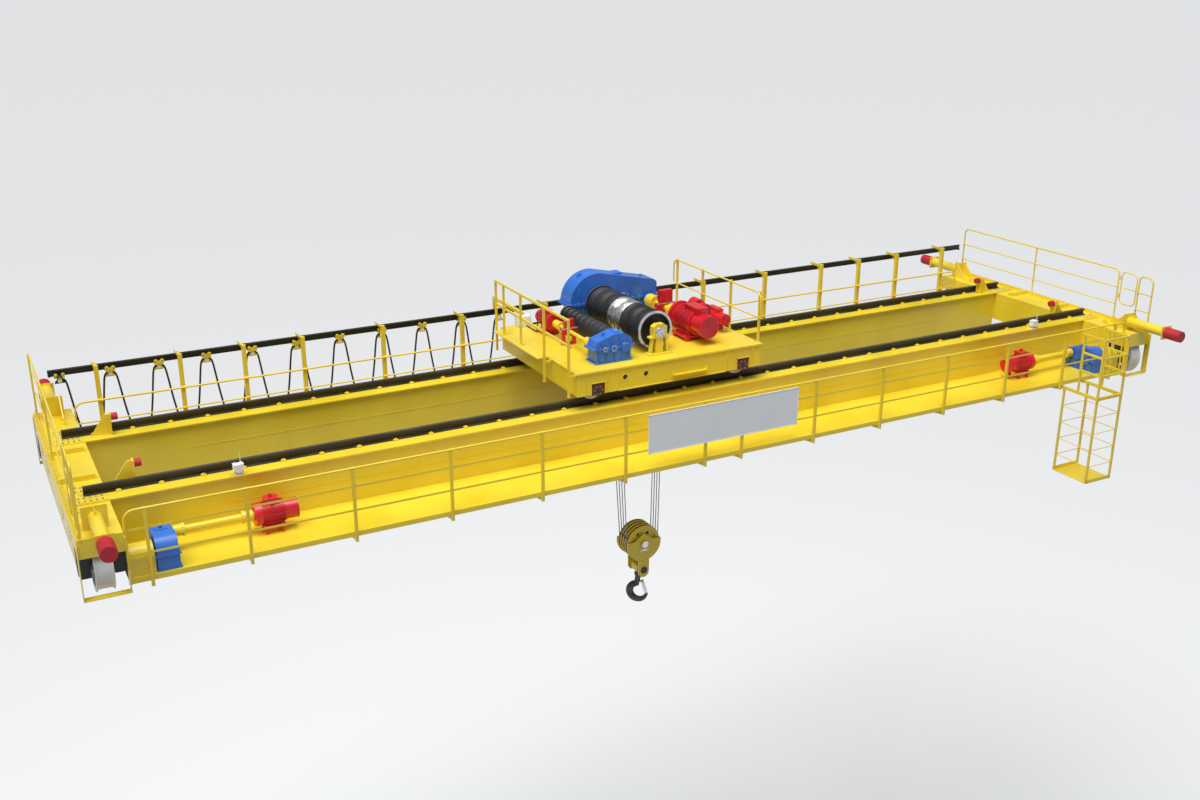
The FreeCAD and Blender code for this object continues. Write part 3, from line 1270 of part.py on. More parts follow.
save("rail_end_stops", four(end_stop()))
save("bumpers", Part.makeCompound([four(stop_bumper()), four(buffer_pad())]))
save("buffer_arms", four(buffer_arm()))
save("walkways", Part.makeCompound([walkway(-1, FRONT_FLOOR_EDGE, FRONT_POSTS),
                                    walkway(1, REAR_FLOOR_EDGE, REAR_POSTS)]))
save("front_railing", front_railing())
save("rear_railing", rear_railing())
save("festoon_rail", joined([festoon_rail(), end_clamp()]))
end_members = end_railing()
save("end_railings", Part.makeCompound(end_members + [to_right(member) for member in end_members]))
left_gate = gate()
save("left_gate", left_gate)
save("right_gate", to_right(left_gate))
save("axle_boxes", Part.makeCompound([four(axle_box(-CARRIAGE_W / 2, -AXLE_BOX_X0)),
                                      four(axle_box(AXLE_BOX_X0, CARRIAGE_W / 2))]))
save("wheel_guards", four(wheel_guard()))
driven_wheel = bridge_wheel(True)
idle_wheel = bridge_wheel(False)
save("bridge_wheel_front_left", driven_wheel)
save("bridge_wheel_front_right", to_right(driven_wheel))
save("bridge_wheel_rear_left", to_rear(idle_wheel))
save("bridge_wheel_rear_right", to_right(to_rear(idle_wheel)))


def both_ends(shape):
    return Part.makeCompound([shape, to_right(shape)])


save("travel_gearboxes", both_ends(travel_gearbox()))
save("travel_motors", both_ends(travel_motor()))
save("travel_shafting", both_ends(travel_shafting()))
save("axle_hoods", both_ends(axle_hood()))
save("inspection_cage", inspection_cage())
save("sign_board", sign_board())
save("limit_switches", Part.makeCompound([limit_switch(SWITCH_LEFT), limit_switch(SWITCH_RIGHT)]))
save("festoon_cable", cable_loops())
for number in range(1, CARRIERS - 1):
    save("cable_carrier_" + str(number), carrier(CARRIER_FIRST + number * CARRIER_PITCH))

save("trolley_frame", trolley_frame())
save("trolley_railings", trolley_railings())
boxes = []
for wheel_x in trolley_wheel_x():
    for side in (-1, 1):
        gap = HALF_GAUGE + TROLLEY_WHEEL_W / 2 + 15
        boxes.append(trolley_axle_box(wheel_x, side * gap, side * SIDE_WEB_OUT))
        gap = HALF_GAUGE - TROLLEY_WHEEL_W / 2 - 15
        boxes.append(trolley_axle_box(wheel_x, side * SIDE_WEB_IN, side * gap))
save("trolley_axle_boxes", Part.makeCompound(boxes))
save("trolley_wheelset_left", trolley_wheelset(trolley_wheel_x()[0]))
save("trolley_wheelset_right", trolley_wheelset(trolley_wheel_x()[1]))
save("hoist_gearbox", hoist_gearbox())
save("hoist_motor", hoist_motor())
save("hoist_couplings", Part.makeCompound([
    fast_line(FAST_LINE_X, FAST_LINE_Z, HOIST_MOTOR_Y1, BRAKE_Y - BRAKE_HALF,
              HOIST_COUPLING_R, [(-150, 120)]),
    fast_line(FAST_LINE_X, FAST_LINE_Z, BRAKE_Y + BRAKE_HALF, HOIST_BOX_Y0 - 45,
              HOIST_COUPLING_R, [(640, 900)]),
    fast_line(AUX_LINE_X, AUX_LINE_Z, AUX_BOX_Y1, AUX_BRAKE_Y - BRAKE_HALF, 75, [(-840, -640)]),
    fast_line(AUX_LINE_X, AUX_LINE_Z, AUX_BRAKE_Y + BRAKE_HALF, AUX_MOTOR_Y0, 75, [(330, 560)])]))
save("hoist_brakes", Part.makeCompound([brake(FAST_LINE_X, FAST_LINE_Z, BRAKE_Y, 150, DECK_TOP, 190),
                                        brake(AUX_LINE_X, AUX_LINE_Z, AUX_BRAKE_Y, 95, DECK_TOP, 120)]))
save("aux_motor", aux_motor())
save("drum_pedestal", Part.makeCompound([drum_pedestal(), aux_bearing()]))
save("main_drum", drum(DRUM_X, DRUM_Z, DRUM_Y0, DRUM_Y1, DRUM_R, DRUM_FLANGE_R, DRUM_Y0 - 175, DRUM_Y1 + 85))
save("aux_drum", drum(AUX_DRUM_X, AUX_DRUM_Z, AUX_DRUM_Y0, AUX_DRUM_Y1, AUX_DRUM_R, AUX_DRUM_R + 20,
                      AUX_BOX_Y1 - 55, AUX_DRUM_Y1 + 75))
save("aux_gearbox", aux_gearbox())
save("drum_falls", drum_falls())
save("anchor_falls", anchor_falls())
save("trolley_drive", trolley_drive())
save("hook_block", block_frame())
save("block_sheaves", sheaves())
save("hook", hook())
save("hook_latch", hook_latch())
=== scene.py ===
# %% [markdown]
# # An overhead bridge crane, dressed for its portrait
# Two box girders on end carriages carry an open winch trolley, whose rope falls hold a
# hook block. The solids give each piece's true place and size. This file adds what the
# solids leave out: paint, rope strands, fins, bolts, welds, clips and soft edges.
# Everything is in metres. X runs along the span, Y along the runway, Z up.

# %% Load the frame of solids
import math
import bpy
import bmesh
from mathutils import Matrix, Vector


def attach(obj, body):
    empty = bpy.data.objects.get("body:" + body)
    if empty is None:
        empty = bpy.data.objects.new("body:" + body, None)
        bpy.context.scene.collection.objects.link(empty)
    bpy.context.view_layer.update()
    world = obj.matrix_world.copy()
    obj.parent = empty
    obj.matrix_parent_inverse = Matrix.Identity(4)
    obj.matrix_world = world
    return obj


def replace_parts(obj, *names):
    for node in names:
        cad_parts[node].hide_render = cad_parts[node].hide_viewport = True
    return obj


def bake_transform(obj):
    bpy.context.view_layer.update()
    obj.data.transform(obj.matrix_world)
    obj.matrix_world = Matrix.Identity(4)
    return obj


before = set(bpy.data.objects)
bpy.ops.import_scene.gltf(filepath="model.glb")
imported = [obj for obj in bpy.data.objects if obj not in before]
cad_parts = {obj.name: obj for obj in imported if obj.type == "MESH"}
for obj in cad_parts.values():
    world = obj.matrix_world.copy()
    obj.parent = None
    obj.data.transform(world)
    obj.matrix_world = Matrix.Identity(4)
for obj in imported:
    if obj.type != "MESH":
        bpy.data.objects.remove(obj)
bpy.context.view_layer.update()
SPAN = 20.06
MAIN_DRUM_X = 9.57  # axis of the main drum
HOIST_MOTOR_X = 10.61  # line of the hoist motor, its brakes and its couplings
AUX_DRUM_X = 8.88  # axis of the auxiliary drum
AUX_MOTOR_X = 8.43  # line of the auxiliary hoist motor
DRIVE_MOTOR_X = 11.28  # line of the trolley's travel motor
MID = SPAN / 2
X, Y, Z = Vector((1, 0, 0)), Vector((0, 1, 0)), Vector((0, 0, 1))

# %% [markdown]
# ## Paint and metal
# A crane is painted in thick gloss enamel. One flat colour would look like plastic, so the
# paint's colour drifts a little over the plate, its gloss is uneven, and a fine bump gives
# the ripple that a spray gun leaves. All patterns read the object's own coordinates, so
# they stay on the piece when it moves.


def finish_of(name, light, dark, rough, metal=0.0, scale=1.1, ripple=0.0006, ripple_scale=55.0,
              coat=0.0, stretch=(1.0, 1.0, 1.0), spread=0.08):
    material = bpy.data.materials.new(name)
    material.use_nodes = True
    nodes, links = material.node_tree.nodes, material.node_tree.links
    shader = nodes["Principled BSDF"]
    shader.inputs["Metallic"].default_value = metal
    shader.inputs["Coat Weight"].default_value = coat
    shader.inputs["Coat Roughness"].default_value = 0.12
    where = nodes.new("ShaderNodeTexCoord")
    turn = nodes.new("ShaderNodeMapping")
    turn.inputs["Scale"].default_value = stretch
    links.new(where.outputs["Object"], turn.inputs["Vector"])
    drift = nodes.new("ShaderNodeTexNoise")
    drift.inputs["Scale"].default_value = scale
    drift.inputs["Detail"].default_value = 5.0
    links.new(turn.outputs["Vector"], drift.inputs["Vector"])
    ramp = nodes.new("ShaderNodeValToRGB")
    ramp.color_ramp.elements[0].position = 0.32
    ramp.color_ramp.elements[0].color = (*dark, 1)
    ramp.color_ramp.elements[1].position = 0.62
    ramp.color_ramp.elements[1].color = (*light, 1)
    links.new(drift.outputs["Fac"], ramp.inputs["Fac"])
    links.new(ramp.outputs["Color"], shader.inputs["Base Color"])
    gloss = nodes.new("ShaderNodeMapRange")
    gloss.inputs["From Min"].default_value = 0.3
    gloss.inputs["From Max"].default_value = 0.7
    gloss.inputs["To Min"].default_value = rough - spread
    gloss.inputs["To Max"].default_value = rough + spread
    links.new(drift.outputs["Fac"], gloss.inputs["Value"])
    links.new(gloss.outputs["Result"], shader.inputs["Roughness"])
    grain = nodes.new("ShaderNodeTexNoise")
    grain.inputs["Scale"].default_value = ripple_scale
    grain.inputs["Detail"].default_value = 3.0
    links.new(turn.outputs["Vector"], grain.inputs["Vector"])
    bump = nodes.new("ShaderNodeBump")
    bump.inputs["Strength"].default_value = 0.35
    bump.inputs["Distance"].default_value = ripple
    links.new(grain.outputs["Fac"], bump.inputs["Height"])
    links.new(bump.outputs["Normal"], shader.inputs["Normal"])
    return material


# %% The finishes
yellow = finish_of("yellow enamel", (0.90, 0.69, 0.040), (0.82, 0.61, 0.028), 0.36, coat=0.25)
blue = finish_of("blue enamel", (0.030, 0.175, 0.66), (0.020, 0.125, 0.52), 0.34, coat=0.25)
red = finish_of("red enamel", (0.72, 0.010, 0.025), (0.55, 0.007, 0.018), 0.33, coat=0.3)
black = finish_of("black enamel", (0.030, 0.027, 0.020), (0.016, 0.014, 0.010), 0.45)
cast = finish_of("black cast housing", (0.030, 0.030, 0.034), (0.012, 0.012, 0.014), 0.55,
                 ripple=0.002)
rail_skin = finish_of("rail mill scale", (0.060, 0.050, 0.036), (0.030, 0.025, 0.018), 0.50,
                      metal=0.35, scale=7.0, ripple=0.001, stretch=(0.25, 1, 1))
rail_shine = finish_of("rolled bright rail head", (0.30, 0.29, 0.27), (0.14, 0.13, 0.115), 0.34,
                       metal=0.9, scale=9.0, stretch=(0.15, 6, 1))
wheel_skin = finish_of("pale wheel primer", (0.80, 0.80, 0.79), (0.66, 0.66, 0.65), 0.42)
steel = finish_of("turned bright steel", (0.72, 0.72, 0.73), (0.50, 0.50, 0.52), 0.30,
                  metal=0.9,
                  scale=12.0, ripple_scale=160.0)
zinc = finish_of("zinc plated bolts", (0.62, 0.62, 0.60), (0.42, 0.42, 0.40), 0.38, metal=0.8,
                 scale=20.0)
wire = finish_of("greased wire rope", (0.34, 0.34, 0.35), (0.12, 0.12, 0.125), 0.38, metal=0.75,
                 scale=60.0, ripple_scale=400.0)
hook_skin = finish_of("forged hook steel", (0.085, 0.086, 0.095), (0.035, 0.035, 0.040), 0.40,
                      metal=0.5, scale=6.0, ripple=0.004, ripple_scale=35.0)
rubber = finish_of("red buffer rubber", (0.52, 0.020, 0.030), (0.40, 0.012, 0.020), 0.58,
                   ripple=0.001)
sheath = finish_of("black cable sheath", (0.022, 0.022, 0.024), (0.010, 0.010, 0.011), 0.42)
white = finish_of("white sheet enamel", (0.90, 0.92, 0.93), (0.86, 0.88, 0.90), 0.40)

# %% [markdown]
# The walkway floors, the trolley deck and the cage floor are chequer plate. Its raised
# pattern is far too fine to model over 40 square metres, so it is a bump: two waves that
# cross at right angles, cut to short bars.

# %% Chequer plate, from the yellow enamel


def chequer_of(base):
    material = base.copy()
    material.name = base.name + " chequer plate"
    nodes, links = material.node_tree.nodes, material.node_tree.links
    shader = nodes["Principled BSDF"]
    old = next(n for n in nodes if n.bl_idname == "ShaderNodeBump")
    where = next(n for n in nodes if n.bl_idname == "ShaderNodeTexCoord")
    bars = nodes.new("ShaderNodeTexVoronoi")
    bars.inputs["Scale"].default_value = 26.0
    bars.inputs["Randomness"].default_value = 0.0
    turn = nodes.new("ShaderNodeMapping")
    turn.inputs["Rotation"].default_value = (0, 0, math.radians(45))
    turn.inputs["Scale"].default_value = (1.0, 2.2, 1.0)
    links.new(where.outputs["Object"], turn.inputs["Vector"])
    links.new(turn.outputs["Vector"], bars.inputs["Vector"])
    edge = nodes.new("ShaderNodeMapRange")
    edge.inputs["From Min"].default_value = 0.28
    edge.inputs["From Max"].default_value = 0.16
    links.new(bars.outputs["Distance"], edge.inputs["Value"])
    bump = nodes.new("ShaderNodeBump")
    bump.inputs["Strength"].default_value = 0.25
    bump.inputs["Distance"].default_value = 0.002
    links.new(edge.outputs["Result"], bump.inputs["Height"])
    links.new(old.outputs["Normal"], bump.inputs["Normal"])
    links.new(bump.outputs["Normal"], shader.inputs["Normal"])
    return material


tread = chequer_of(yellow)
print("chequer plate made from", yellow.name)

# %% Dress every solid with its finish
BODY_FINISH = {
    "trolley_rails": rail_skin, "festoon_rail": black, "bumpers": rubber, "axle_boxes": cast,
    "trolley_axle_boxes": cast, "travel_gearboxes": blue, "hoist_gearbox": blue, "aux_gearbox": blue,
    "travel_motors": red, "hoist_motor": red, "aux_motor": red, "hoist_brakes": red, "trolley_drive": red,
    "sign_board": white, "limit_switches": white, "festoon_cable": sheath, "main_drum": cast,
    "aux_drum": cast,
    "drum_falls": wire, "anchor_falls": wire, "hook": hook_skin, "hook_latch": steel, "block_sheaves": cast,
    "walkways": tread,
}
for node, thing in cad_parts.items():
    dress = BODY_FINISH.get(node, wheel_skin if "wheel" in node and "guard" not in node else yellow)
    if not thing.data.materials:
        thing.data.materials.append(dress)
    for place in thing.material_slots:
        place.link = "OBJECT"
        place.material = dress
print("dressed", len(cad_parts), "solids")

# %% [markdown]
# ## A small workshop
# Most fittings are blocks, turned parts, bent bars or plates. Each helper adds one such
# shape to a mesh that is still open, and one more helper closes the mesh, turns its faces
# outward, keeps crisp edges crisp and hangs the piece on its body.

# %% Blocks and turned parts


def frame_along(direction):
    return Vector(direction).to_track_quat("Z", "Y").to_matrix().to_4x4()


def block(bm, x, y, z, bevel=0.0):
    x, y, z = sorted(x), sorted(y), sorted(z)
    middle = Vector(((x[0] + x[1]) / 2, (y[0] + y[1]) / 2, (z[0] + z[1]) / 2))
    size = Matrix.Diagonal((x[1] - x[0], y[1] - y[0], z[1] - z[0], 1))
    made = bmesh.ops.create_cube(bm, size=1.0, matrix=Matrix.Translation(middle) @ size)
    if bevel:
        edges = list({e for v in made["verts"] for e in v.link_edges})
        bmesh.ops.bevel(bm, geom=edges, offset=bevel, segments=2, profile=0.6, affect="EDGES")


def turned(bm, origin, direction, outline, sides=28):
    """A solid of revolution. The outline is (along, radius) pairs; a radius of 0 closes an end."""
    place = Matrix.Translation(Vector(origin)) @ frame_along(direction)
    rings = []
    for along, radius in outline:
        if radius < 1e-6:
            rings.append([bm.verts.new(place @ Vector((0, 0, along)))])
            continue
        ring = []
        for i in range(sides):
            angle = 2 * math.pi * i / sides
            ring.append(bm.verts.new(place @ Vector((radius * math.cos(angle), radius * math.sin(angle),
                                                     along))))
        rings.append(ring)
    for low, high in zip(rings, rings[1:]):
        for i in range(sides):
            j = (i + 1) % sides
            corners = [low[i % len(low)], low[j % len(low)], high[j % len(high)], high[i % len(high)]]
            corners = list(dict.fromkeys(corners))
            if len(corners) > 2:
                bm.faces.new(corners)


def disc(bm, start, direction, radius, thick, sides=28, edge=0.002):
    turned(bm, start, direction, [(0, 0), (0, radius - edge), (edge, radius), (thick - edge, radius),
                                  (thick, radius - edge), (thick, 0)], sides)


def ring(bm, start, direction, inner, outer, thick, sides=32):
    turned(bm, start, direction, [(0, inner), (0, outer), (thick, outer), (thick, inner), (0, inner)], sides)


# %% Plates cut to an outline, and bars along a path


def plate(bm, points, thick):
    """A flat plate from its corner points, thickened along the vector thick."""
    low = [bm.verts.new(Vector(p)) for p in points]
    high = [bm.verts.new(Vector(p) + Vector(thick)) for p in points]
    bm.faces.new(low)
    bm.faces.new(high[::-1])
    for i in range(len(low)):
        j = (i + 1) % len(low)
        bm.faces.new([low[j], low[i], high[i], high[j]])


def bar(bm, points, radius, sides=12, radii=None, lobes=0, twist=0.0):
    """A bar swept along points; lobes and twist give the strands of a wire rope."""
    points = [Vector(p) for p in points]
    ways = [(b - a).normalized() for a, b in zip(points, points[1:])]
    ways = [ways[0]] + [(a + b).normalized() for a, b in zip(ways, ways[1:])] + [ways[-1]]
    side = ways[0].orthogonal().normalized()
    rings, travelled = [], 0.0
    for k, (point, way) in enumerate(zip(points, ways)):
        side = (side - way * side.dot(way)).normalized()
        other = way.cross(side)
        travelled += (point - points[k - 1]).length if k else 0.0
        here = radii[k] if radii else radius
        loop = []
        for i in range(sides):
            angle = 2 * math.pi * i / sides
            bulge = 1 - (0.16 * (i % 2) if lobes else 0)
            turn = angle + travelled * twist
            loop.append(bm.verts.new(point + (side * math.cos(turn) + other * math.sin(turn)) * here * bulge))
        rings.append(loop)
    for low, high in zip(rings, rings[1:]):
        for i in range(sides):
            j = (i + 1) % sides
            bm.faces.new([low[i], low[j], high[j], high[i]])
    bm.faces.new(rings[0][::-1])
    bm.faces.new(rings[-1])


# %% Close a mesh and hang it on its body


def mirrored_too(bm, axis, centre):
    """Adds the mirror image of all that is in the mesh, across a plane square to axis."""
    copy = bmesh.ops.duplicate(bm, geom=bm.verts[:] + bm.edges[:] + bm.faces[:])["geom"]
    verts = [g for g in copy if isinstance(g, bmesh.types.BMVert)]
    for vert in verts:
        vert.co[axis] = 2 * centre - vert.co[axis]
    bmesh.ops.reverse_faces(bm, faces=[g for g in copy if isinstance(g, bmesh.types.BMFace)])


def closed(bm, name, finish, sharp=35):
    bmesh.ops.recalc_face_normals(bm, faces=bm.faces[:])
    mesh = bpy.data.meshes.new(name)
    bm.to_mesh(mesh)
    bm.free()
    mesh.materials.append(finish)
    mesh.polygons.foreach_set("use_smooth", [True] * len(mesh.polygons))
    mesh.set_sharp_from_angle(angle=math.radians(sharp))
    thing = bpy.data.objects.new(name, mesh)
    bpy.context.scene.collection.objects.link(thing)
    return thing


def hung(bm, name, body, finish, sharp=35):
    thing = closed(bm, name, finish, sharp)
    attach(thing, body)
    print(name, "on", body, len(thing.data.polygons), "faces")
    return thing


# %% [markdown]
# ## Geometry Nodes for what repeats
# Bolts, fins, clips and rope windings repeat by the hundred. Each has a node tree with
# named sizes. The trees share one ending: the shape is set on every point of a small
# point mesh, turned to that point's own direction, made real and given its finish.

# %% The shared start and end of a tree


def new_tree(name, sizes):
    tree = bpy.data.node_groups.new(name, "GeometryNodeTree")
    tree.interface.new_socket("Spots", in_out="INPUT", socket_type="NodeSocketGeometry")
    for label, value in sizes.items():
        kind = "NodeSocketInt" if isinstance(value, int) else "NodeSocketFloat"
        tree.interface.new_socket(label, in_out="INPUT", socket_type=kind).default_value = value
    tree.interface.new_socket("Finish", in_out="INPUT", socket_type="NodeSocketMaterial")
    tree.interface.new_socket("Geometry", in_out="OUTPUT", socket_type="NodeSocketGeometry")
    return tree, tree.nodes.new("NodeGroupInput")


def end_tree(tree, start, shape, axis="Z", pivot="AUTO"):
    nodes, links = tree.nodes, tree.links
    aim = nodes.new("GeometryNodeInputNamedAttribute")
    aim.data_type = "FLOAT_VECTOR"
    aim.inputs["Name"].default_value = "aim"
    align = nodes.new("FunctionNodeAlignRotationToVector")
    align.axis, align.pivot_axis = axis, pivot
    links.new(next(s for s in aim.outputs if s.enabled and s.name == "Attribute"), align.inputs["Vector"])
    scatter = nodes.new("GeometryNodeInstanceOnPoints")
    links.new(start.outputs["Spots"], scatter.inputs["Points"])
    links.new(shape, scatter.inputs["Instance"])
    links.new(align.outputs["Rotation"], scatter.inputs["Rotation"])
    real = nodes.new("GeometryNodeRealizeInstances")
    paint = nodes.new("GeometryNodeSetMaterial")
    out = nodes.new("NodeGroupOutput")
    links.new(scatter.outputs["Instances"], real.inputs["Geometry"])
    links.new(real.outputs["Geometry"], paint.inputs["Geometry"])
    links.new(start.outputs["Finish"], paint.inputs["Material"])
    links.new(paint.outputs["Geometry"], out.inputs["Geometry"])


def shape_node(tree, kind, lift=None, **values):
    """A mesh primitive whose sizes come from sockets or numbers, lifted along Z."""
    node = tree.nodes.new(kind)
    for label, value in values.items():
        socket = node.inputs[label.replace("_", " ")]
        if isinstance(value, bpy.types.NodeSocket):
            tree.links.new(value, socket)
        else:
            socket.default_value = value
    result = node.outputs["Mesh"] if "Mesh" in node.outputs else node.outputs["Curve"]
    if lift is None:
        return result
    move = tree.nodes.new("GeometryNodeTransform")
    if isinstance(lift, bpy.types.NodeSocket):
        tree.links.new(lift, move.inputs["Translation"])
    else:
        move.inputs["Translation"].default_value = lift
    tree.links.new(result, move.inputs["Geometry"])
    return move.outputs["Geometry"]


def joined(tree, *parts):
    join = tree.nodes.new("GeometryNodeJoinGeometry")
    for part in parts:
        tree.links.new(part, join.inputs["Geometry"])
    return join.outputs["Geometry"]


# %% Growing a tree on spots, and turning it into a plain mesh


def grown(name, body, tree, spots, finish, **sizes):
    mesh = bpy.data.meshes.new(name + " spots")
    mesh.from_pydata([tuple(p) for p, a in spots], [], [])
    aims = mesh.attributes.new("aim", "FLOAT_VECTOR", "POINT")
    aims.data.foreach_set("vector", [c for p, a in spots for c in Vector(a).normalized()])
    thing = bpy.data.objects.new(name, mesh)
    bpy.context.scene.collection.objects.link(thing)
    grow = thing.modifiers.new("grow", "NODES")
    grow.node_group = tree
    wanted = {label.replace("_", " "): value for label, value in sizes.items()}
    wanted["Finish"] = finish
    for socket in tree.interface.items_tree:
        if socket.in_out == "INPUT" and socket.name in wanted:
            grow[socket.identifier] = wanted.pop(socket.name)
    assert not wanted, wanted
    graph = bpy.context.evaluated_depsgraph_get()
    plain = bpy.data.meshes.new_from_object(thing.evaluated_get(graph))
    thing.modifiers.clear()
    thing.data = plain
    plain.name = name
    plain.polygons.foreach_set("use_smooth", [True] * len(plain.polygons))
    plain.set_sharp_from_angle(angle=math.radians(35))
    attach(thing, body)
    print(name, "on", body, len(spots), "spots", len(plain.polygons), "faces")
    return thing


# %% The bolt tree: a washer, a hexagon head on it, both as thick as their size asks
bolt_tree, start = new_tree("hexagon bolt", {"Head": 0.024, "Height": 0.012, "Washer": 0.020})


def share_of(tree, socket, share, as_lift=False):
    """A number that is a share of a tree's input, or a lift along Z by that number."""
    times = tree.nodes.new("ShaderNodeMath")
    times.operation = "MULTIPLY"
    tree.links.new(socket, times.inputs[0])
    times.inputs[1].default_value = share
    if not as_lift:
        return times.outputs["Value"]
    lift = tree.nodes.new("ShaderNodeCombineXYZ")
    tree.links.new(times.outputs["Value"], lift.inputs["Z"])
    return lift.outputs["Vector"]


bolt_head = shape_node(bolt_tree, "GeometryNodeMeshCylinder",
                       share_of(bolt_tree, start.outputs["Height"], 0.62, True),
                       Vertices=6, Radius=start.outputs["Head"], Depth=start.outputs["Height"])
bolt_washer = shape_node(bolt_tree, "GeometryNodeMeshCylinder", Vertices=14, Radius=start.outputs["Washer"],
                         Depth=share_of(bolt_tree, start.outputs["Height"], 0.35))
end_tree(bolt_tree, start, joined(bolt_tree, bolt_head, bolt_washer))


def bolts(name, body, spots, head=0.013, finish=None):
    return grown(name, body, bolt_tree, spots, finish or zinc, Head=head, Height=head * 0.95,
                 Washer=head * 1.35)


def round_spots(centre, direction, radius, count, first=0.0):
    place = Matrix.Translation(Vector(centre)) @ frame_along(direction)
    turn = [first + 2 * math.pi * i / count for i in range(count)]
    return [(place @ Vector((radius * math.cos(a), radius * math.sin(a), 0)),
             Vector(direction)) for a in turn]


def mirror_spots(spots, axis=0, centre=MID):
    result = list(spots)
    for point, aim in spots:
        point, aim = Vector(point), Vector(aim)
        point[axis] = 2 * centre - point[axis]
        aim[axis] = -aim[axis]
        result.append((point, aim))
    return result


print("bolt tree ready")

# %% The fin tree: straight cooling fins round a motor's body
fin_tree, start = new_tree("cooling fins", {"Fins": 32, "Middle": 0.15, "Height": 0.02, "Thickness": 0.004,
                                            "Length": 0.3})
fin_circle = fin_tree.nodes.new("GeometryNodeMeshCircle")
fin_tree.links.new(start.outputs["Fins"], fin_circle.inputs["Vertices"])
fin_tree.links.new(start.outputs["Middle"], fin_circle.inputs["Radius"])
fin_size = fin_tree.nodes.new("ShaderNodeCombineXYZ")
fin_tree.links.new(start.outputs["Height"], fin_size.inputs["X"])
fin_tree.links.new(start.outputs["Thickness"], fin_size.inputs["Y"])
fin_tree.links.new(start.outputs["Length"], fin_size.inputs["Z"])
fin_cube = fin_tree.nodes.new("GeometryNodeMeshCube")
fin_tree.links.new(fin_size.outputs["Vector"], fin_cube.inputs["Size"])
fin_where = fin_tree.nodes.new("GeometryNodeInputPosition")
fin_turn = fin_tree.nodes.new("FunctionNodeAlignRotationToVector")
fin_turn.axis, fin_turn.pivot_axis = "X", "Z"
fin_tree.links.new(fin_where.outputs["Position"], fin_turn.inputs["Vector"])
fin_set = fin_tree.nodes.new("GeometryNodeInstanceOnPoints")
fin_tree.links.new(fin_circle.outputs["Mesh"], fin_set.inputs["Points"])
fin_tree.links.new(fin_cube.outputs["Mesh"], fin_set.inputs["Instance"])
fin_tree.links.new(fin_turn.outputs["Rotation"], fin_set.inputs["Rotation"])
end_tree(fin_tree, start, fin_set.outputs["Instances"])
print("fin tree ready")

# %% The winding tree: wire rope laid round a drum in a helix
wind_tree, start = new_tree("rope winding", {"Turns": 20.0, "Radius": 0.3, "Length": 1.0, "Rope": 0.011})
wind_spiral = wind_tree.nodes.new("GeometryNodeCurveSpiral")
wind_spiral.inputs["Resolution"].default_value = 40
for label, size in (("Rotations", "Turns"), ("Start Radius", "Radius"), ("End Radius", "Radius"),
                    ("Height", "Length")):
    wind_tree.links.new(start.outputs[size], wind_spiral.inputs[label])
wind_profile = wind_tree.nodes.new("GeometryNodeCurvePrimitiveCircle")
wind_profile.inputs["Resolution"].default_value = 6
wind_tree.links.new(start.outputs["Rope"], wind_profile.inputs["Radius"])
wind_mesh = wind_tree.nodes.new("GeometryNodeCurveToMesh")
wind_mesh.inputs["Fill Caps"].default_value = True
wind_tree.links.new(wind_spiral.outputs["Curve"], wind_mesh.inputs["Curve"])
wind_tree.links.new(wind_profile.outputs["Curve"], wind_mesh.inputs["Profile Curve"])
end_tree(wind_tree, start, wind_mesh.outputs["Mesh"])
print("winding tree ready")

# %% The clip tree: a forged clip that holds a rail's foot down
clip_tree, start = new_tree("rail clip", {"Reach": 0.050, "Width": 0.070, "Height": 0.020})
clip_size = clip_tree.nodes.new("ShaderNodeCombineXYZ")
for label, size in (("X", "Reach"), ("Y", "Width"), ("Z", "Height")):
    clip_tree.links.new(start.outputs[size], clip_size.inputs[label])
clip_cube = clip_tree.nodes.new("GeometryNodeMeshCube")
clip_tree.links.new(clip_size.outputs["Vector"], clip_cube.inputs["Size"])
clip_nut = shape_node(clip_tree, "GeometryNodeMeshCylinder", (0.004, 0, 0.019), Vertices=6, Radius=0.015,
                      Depth=0.018)
end_tree(clip_tree, start, joined(clip_tree, clip_cube.outputs["Mesh"], clip_nut), axis="X", pivot="Z")

# %% [markdown]
# ## Girders and their rails
# Each girder is welded from long plates. The welds show as thin raised lines: one upright
# at each plate joint, and one along the web where a stiffener sits inside. The rails are
# held by pairs of clips, and their heads are rolled bright by the trolley's wheels.

# %% Weld lines on the webs
bm = bmesh.new()
for web in (-1.510, -0.990):
    way = -1 if web < -1.2 else 1
    for k in range(12):
        x = 2.08 + 1.445 * k
        block(bm, (x - 0.006, x + 0.006), (web, web + way * 0.004), (-0.50, 0.598))
    block(bm, (1.85, 18.21), (web, web + way * 0.005), (0.195, 0.207))
    block(bm, (0.32, 19.74), (web, web + way * 0.008), (0.590, 0.600))
    block(bm, (1.85, 18.21), (web, web + way * 0.008), (-0.504, -0.496))
mirrored_too(bm, 1, 0.0)
hung(bm, "girder_welds", "bridge", yellow)

# %% Bright strip on each rail head, and the clips on its foot
bm = bmesh.new()
for y in (-1.25, 1.25):
    block(bm, (0.0, SPAN), (y - 0.024, y + 0.024), (0.748, 0.7506))
hung(bm, "rail_running_strips", "bridge", rail_shine)
clip_spots = []
for k in range(33):
    for y in (-1.25, 1.25):
        for side in (-1, 1):
            clip_spots.append(((0.46 + 0.598 * k, y + side * 0.078, 0.633), (0, -side, 0)))
grown("rail_clips", "bridge", clip_tree, clip_spots, yellow, Reach=0.062, Width=0.070, Height=0.024)

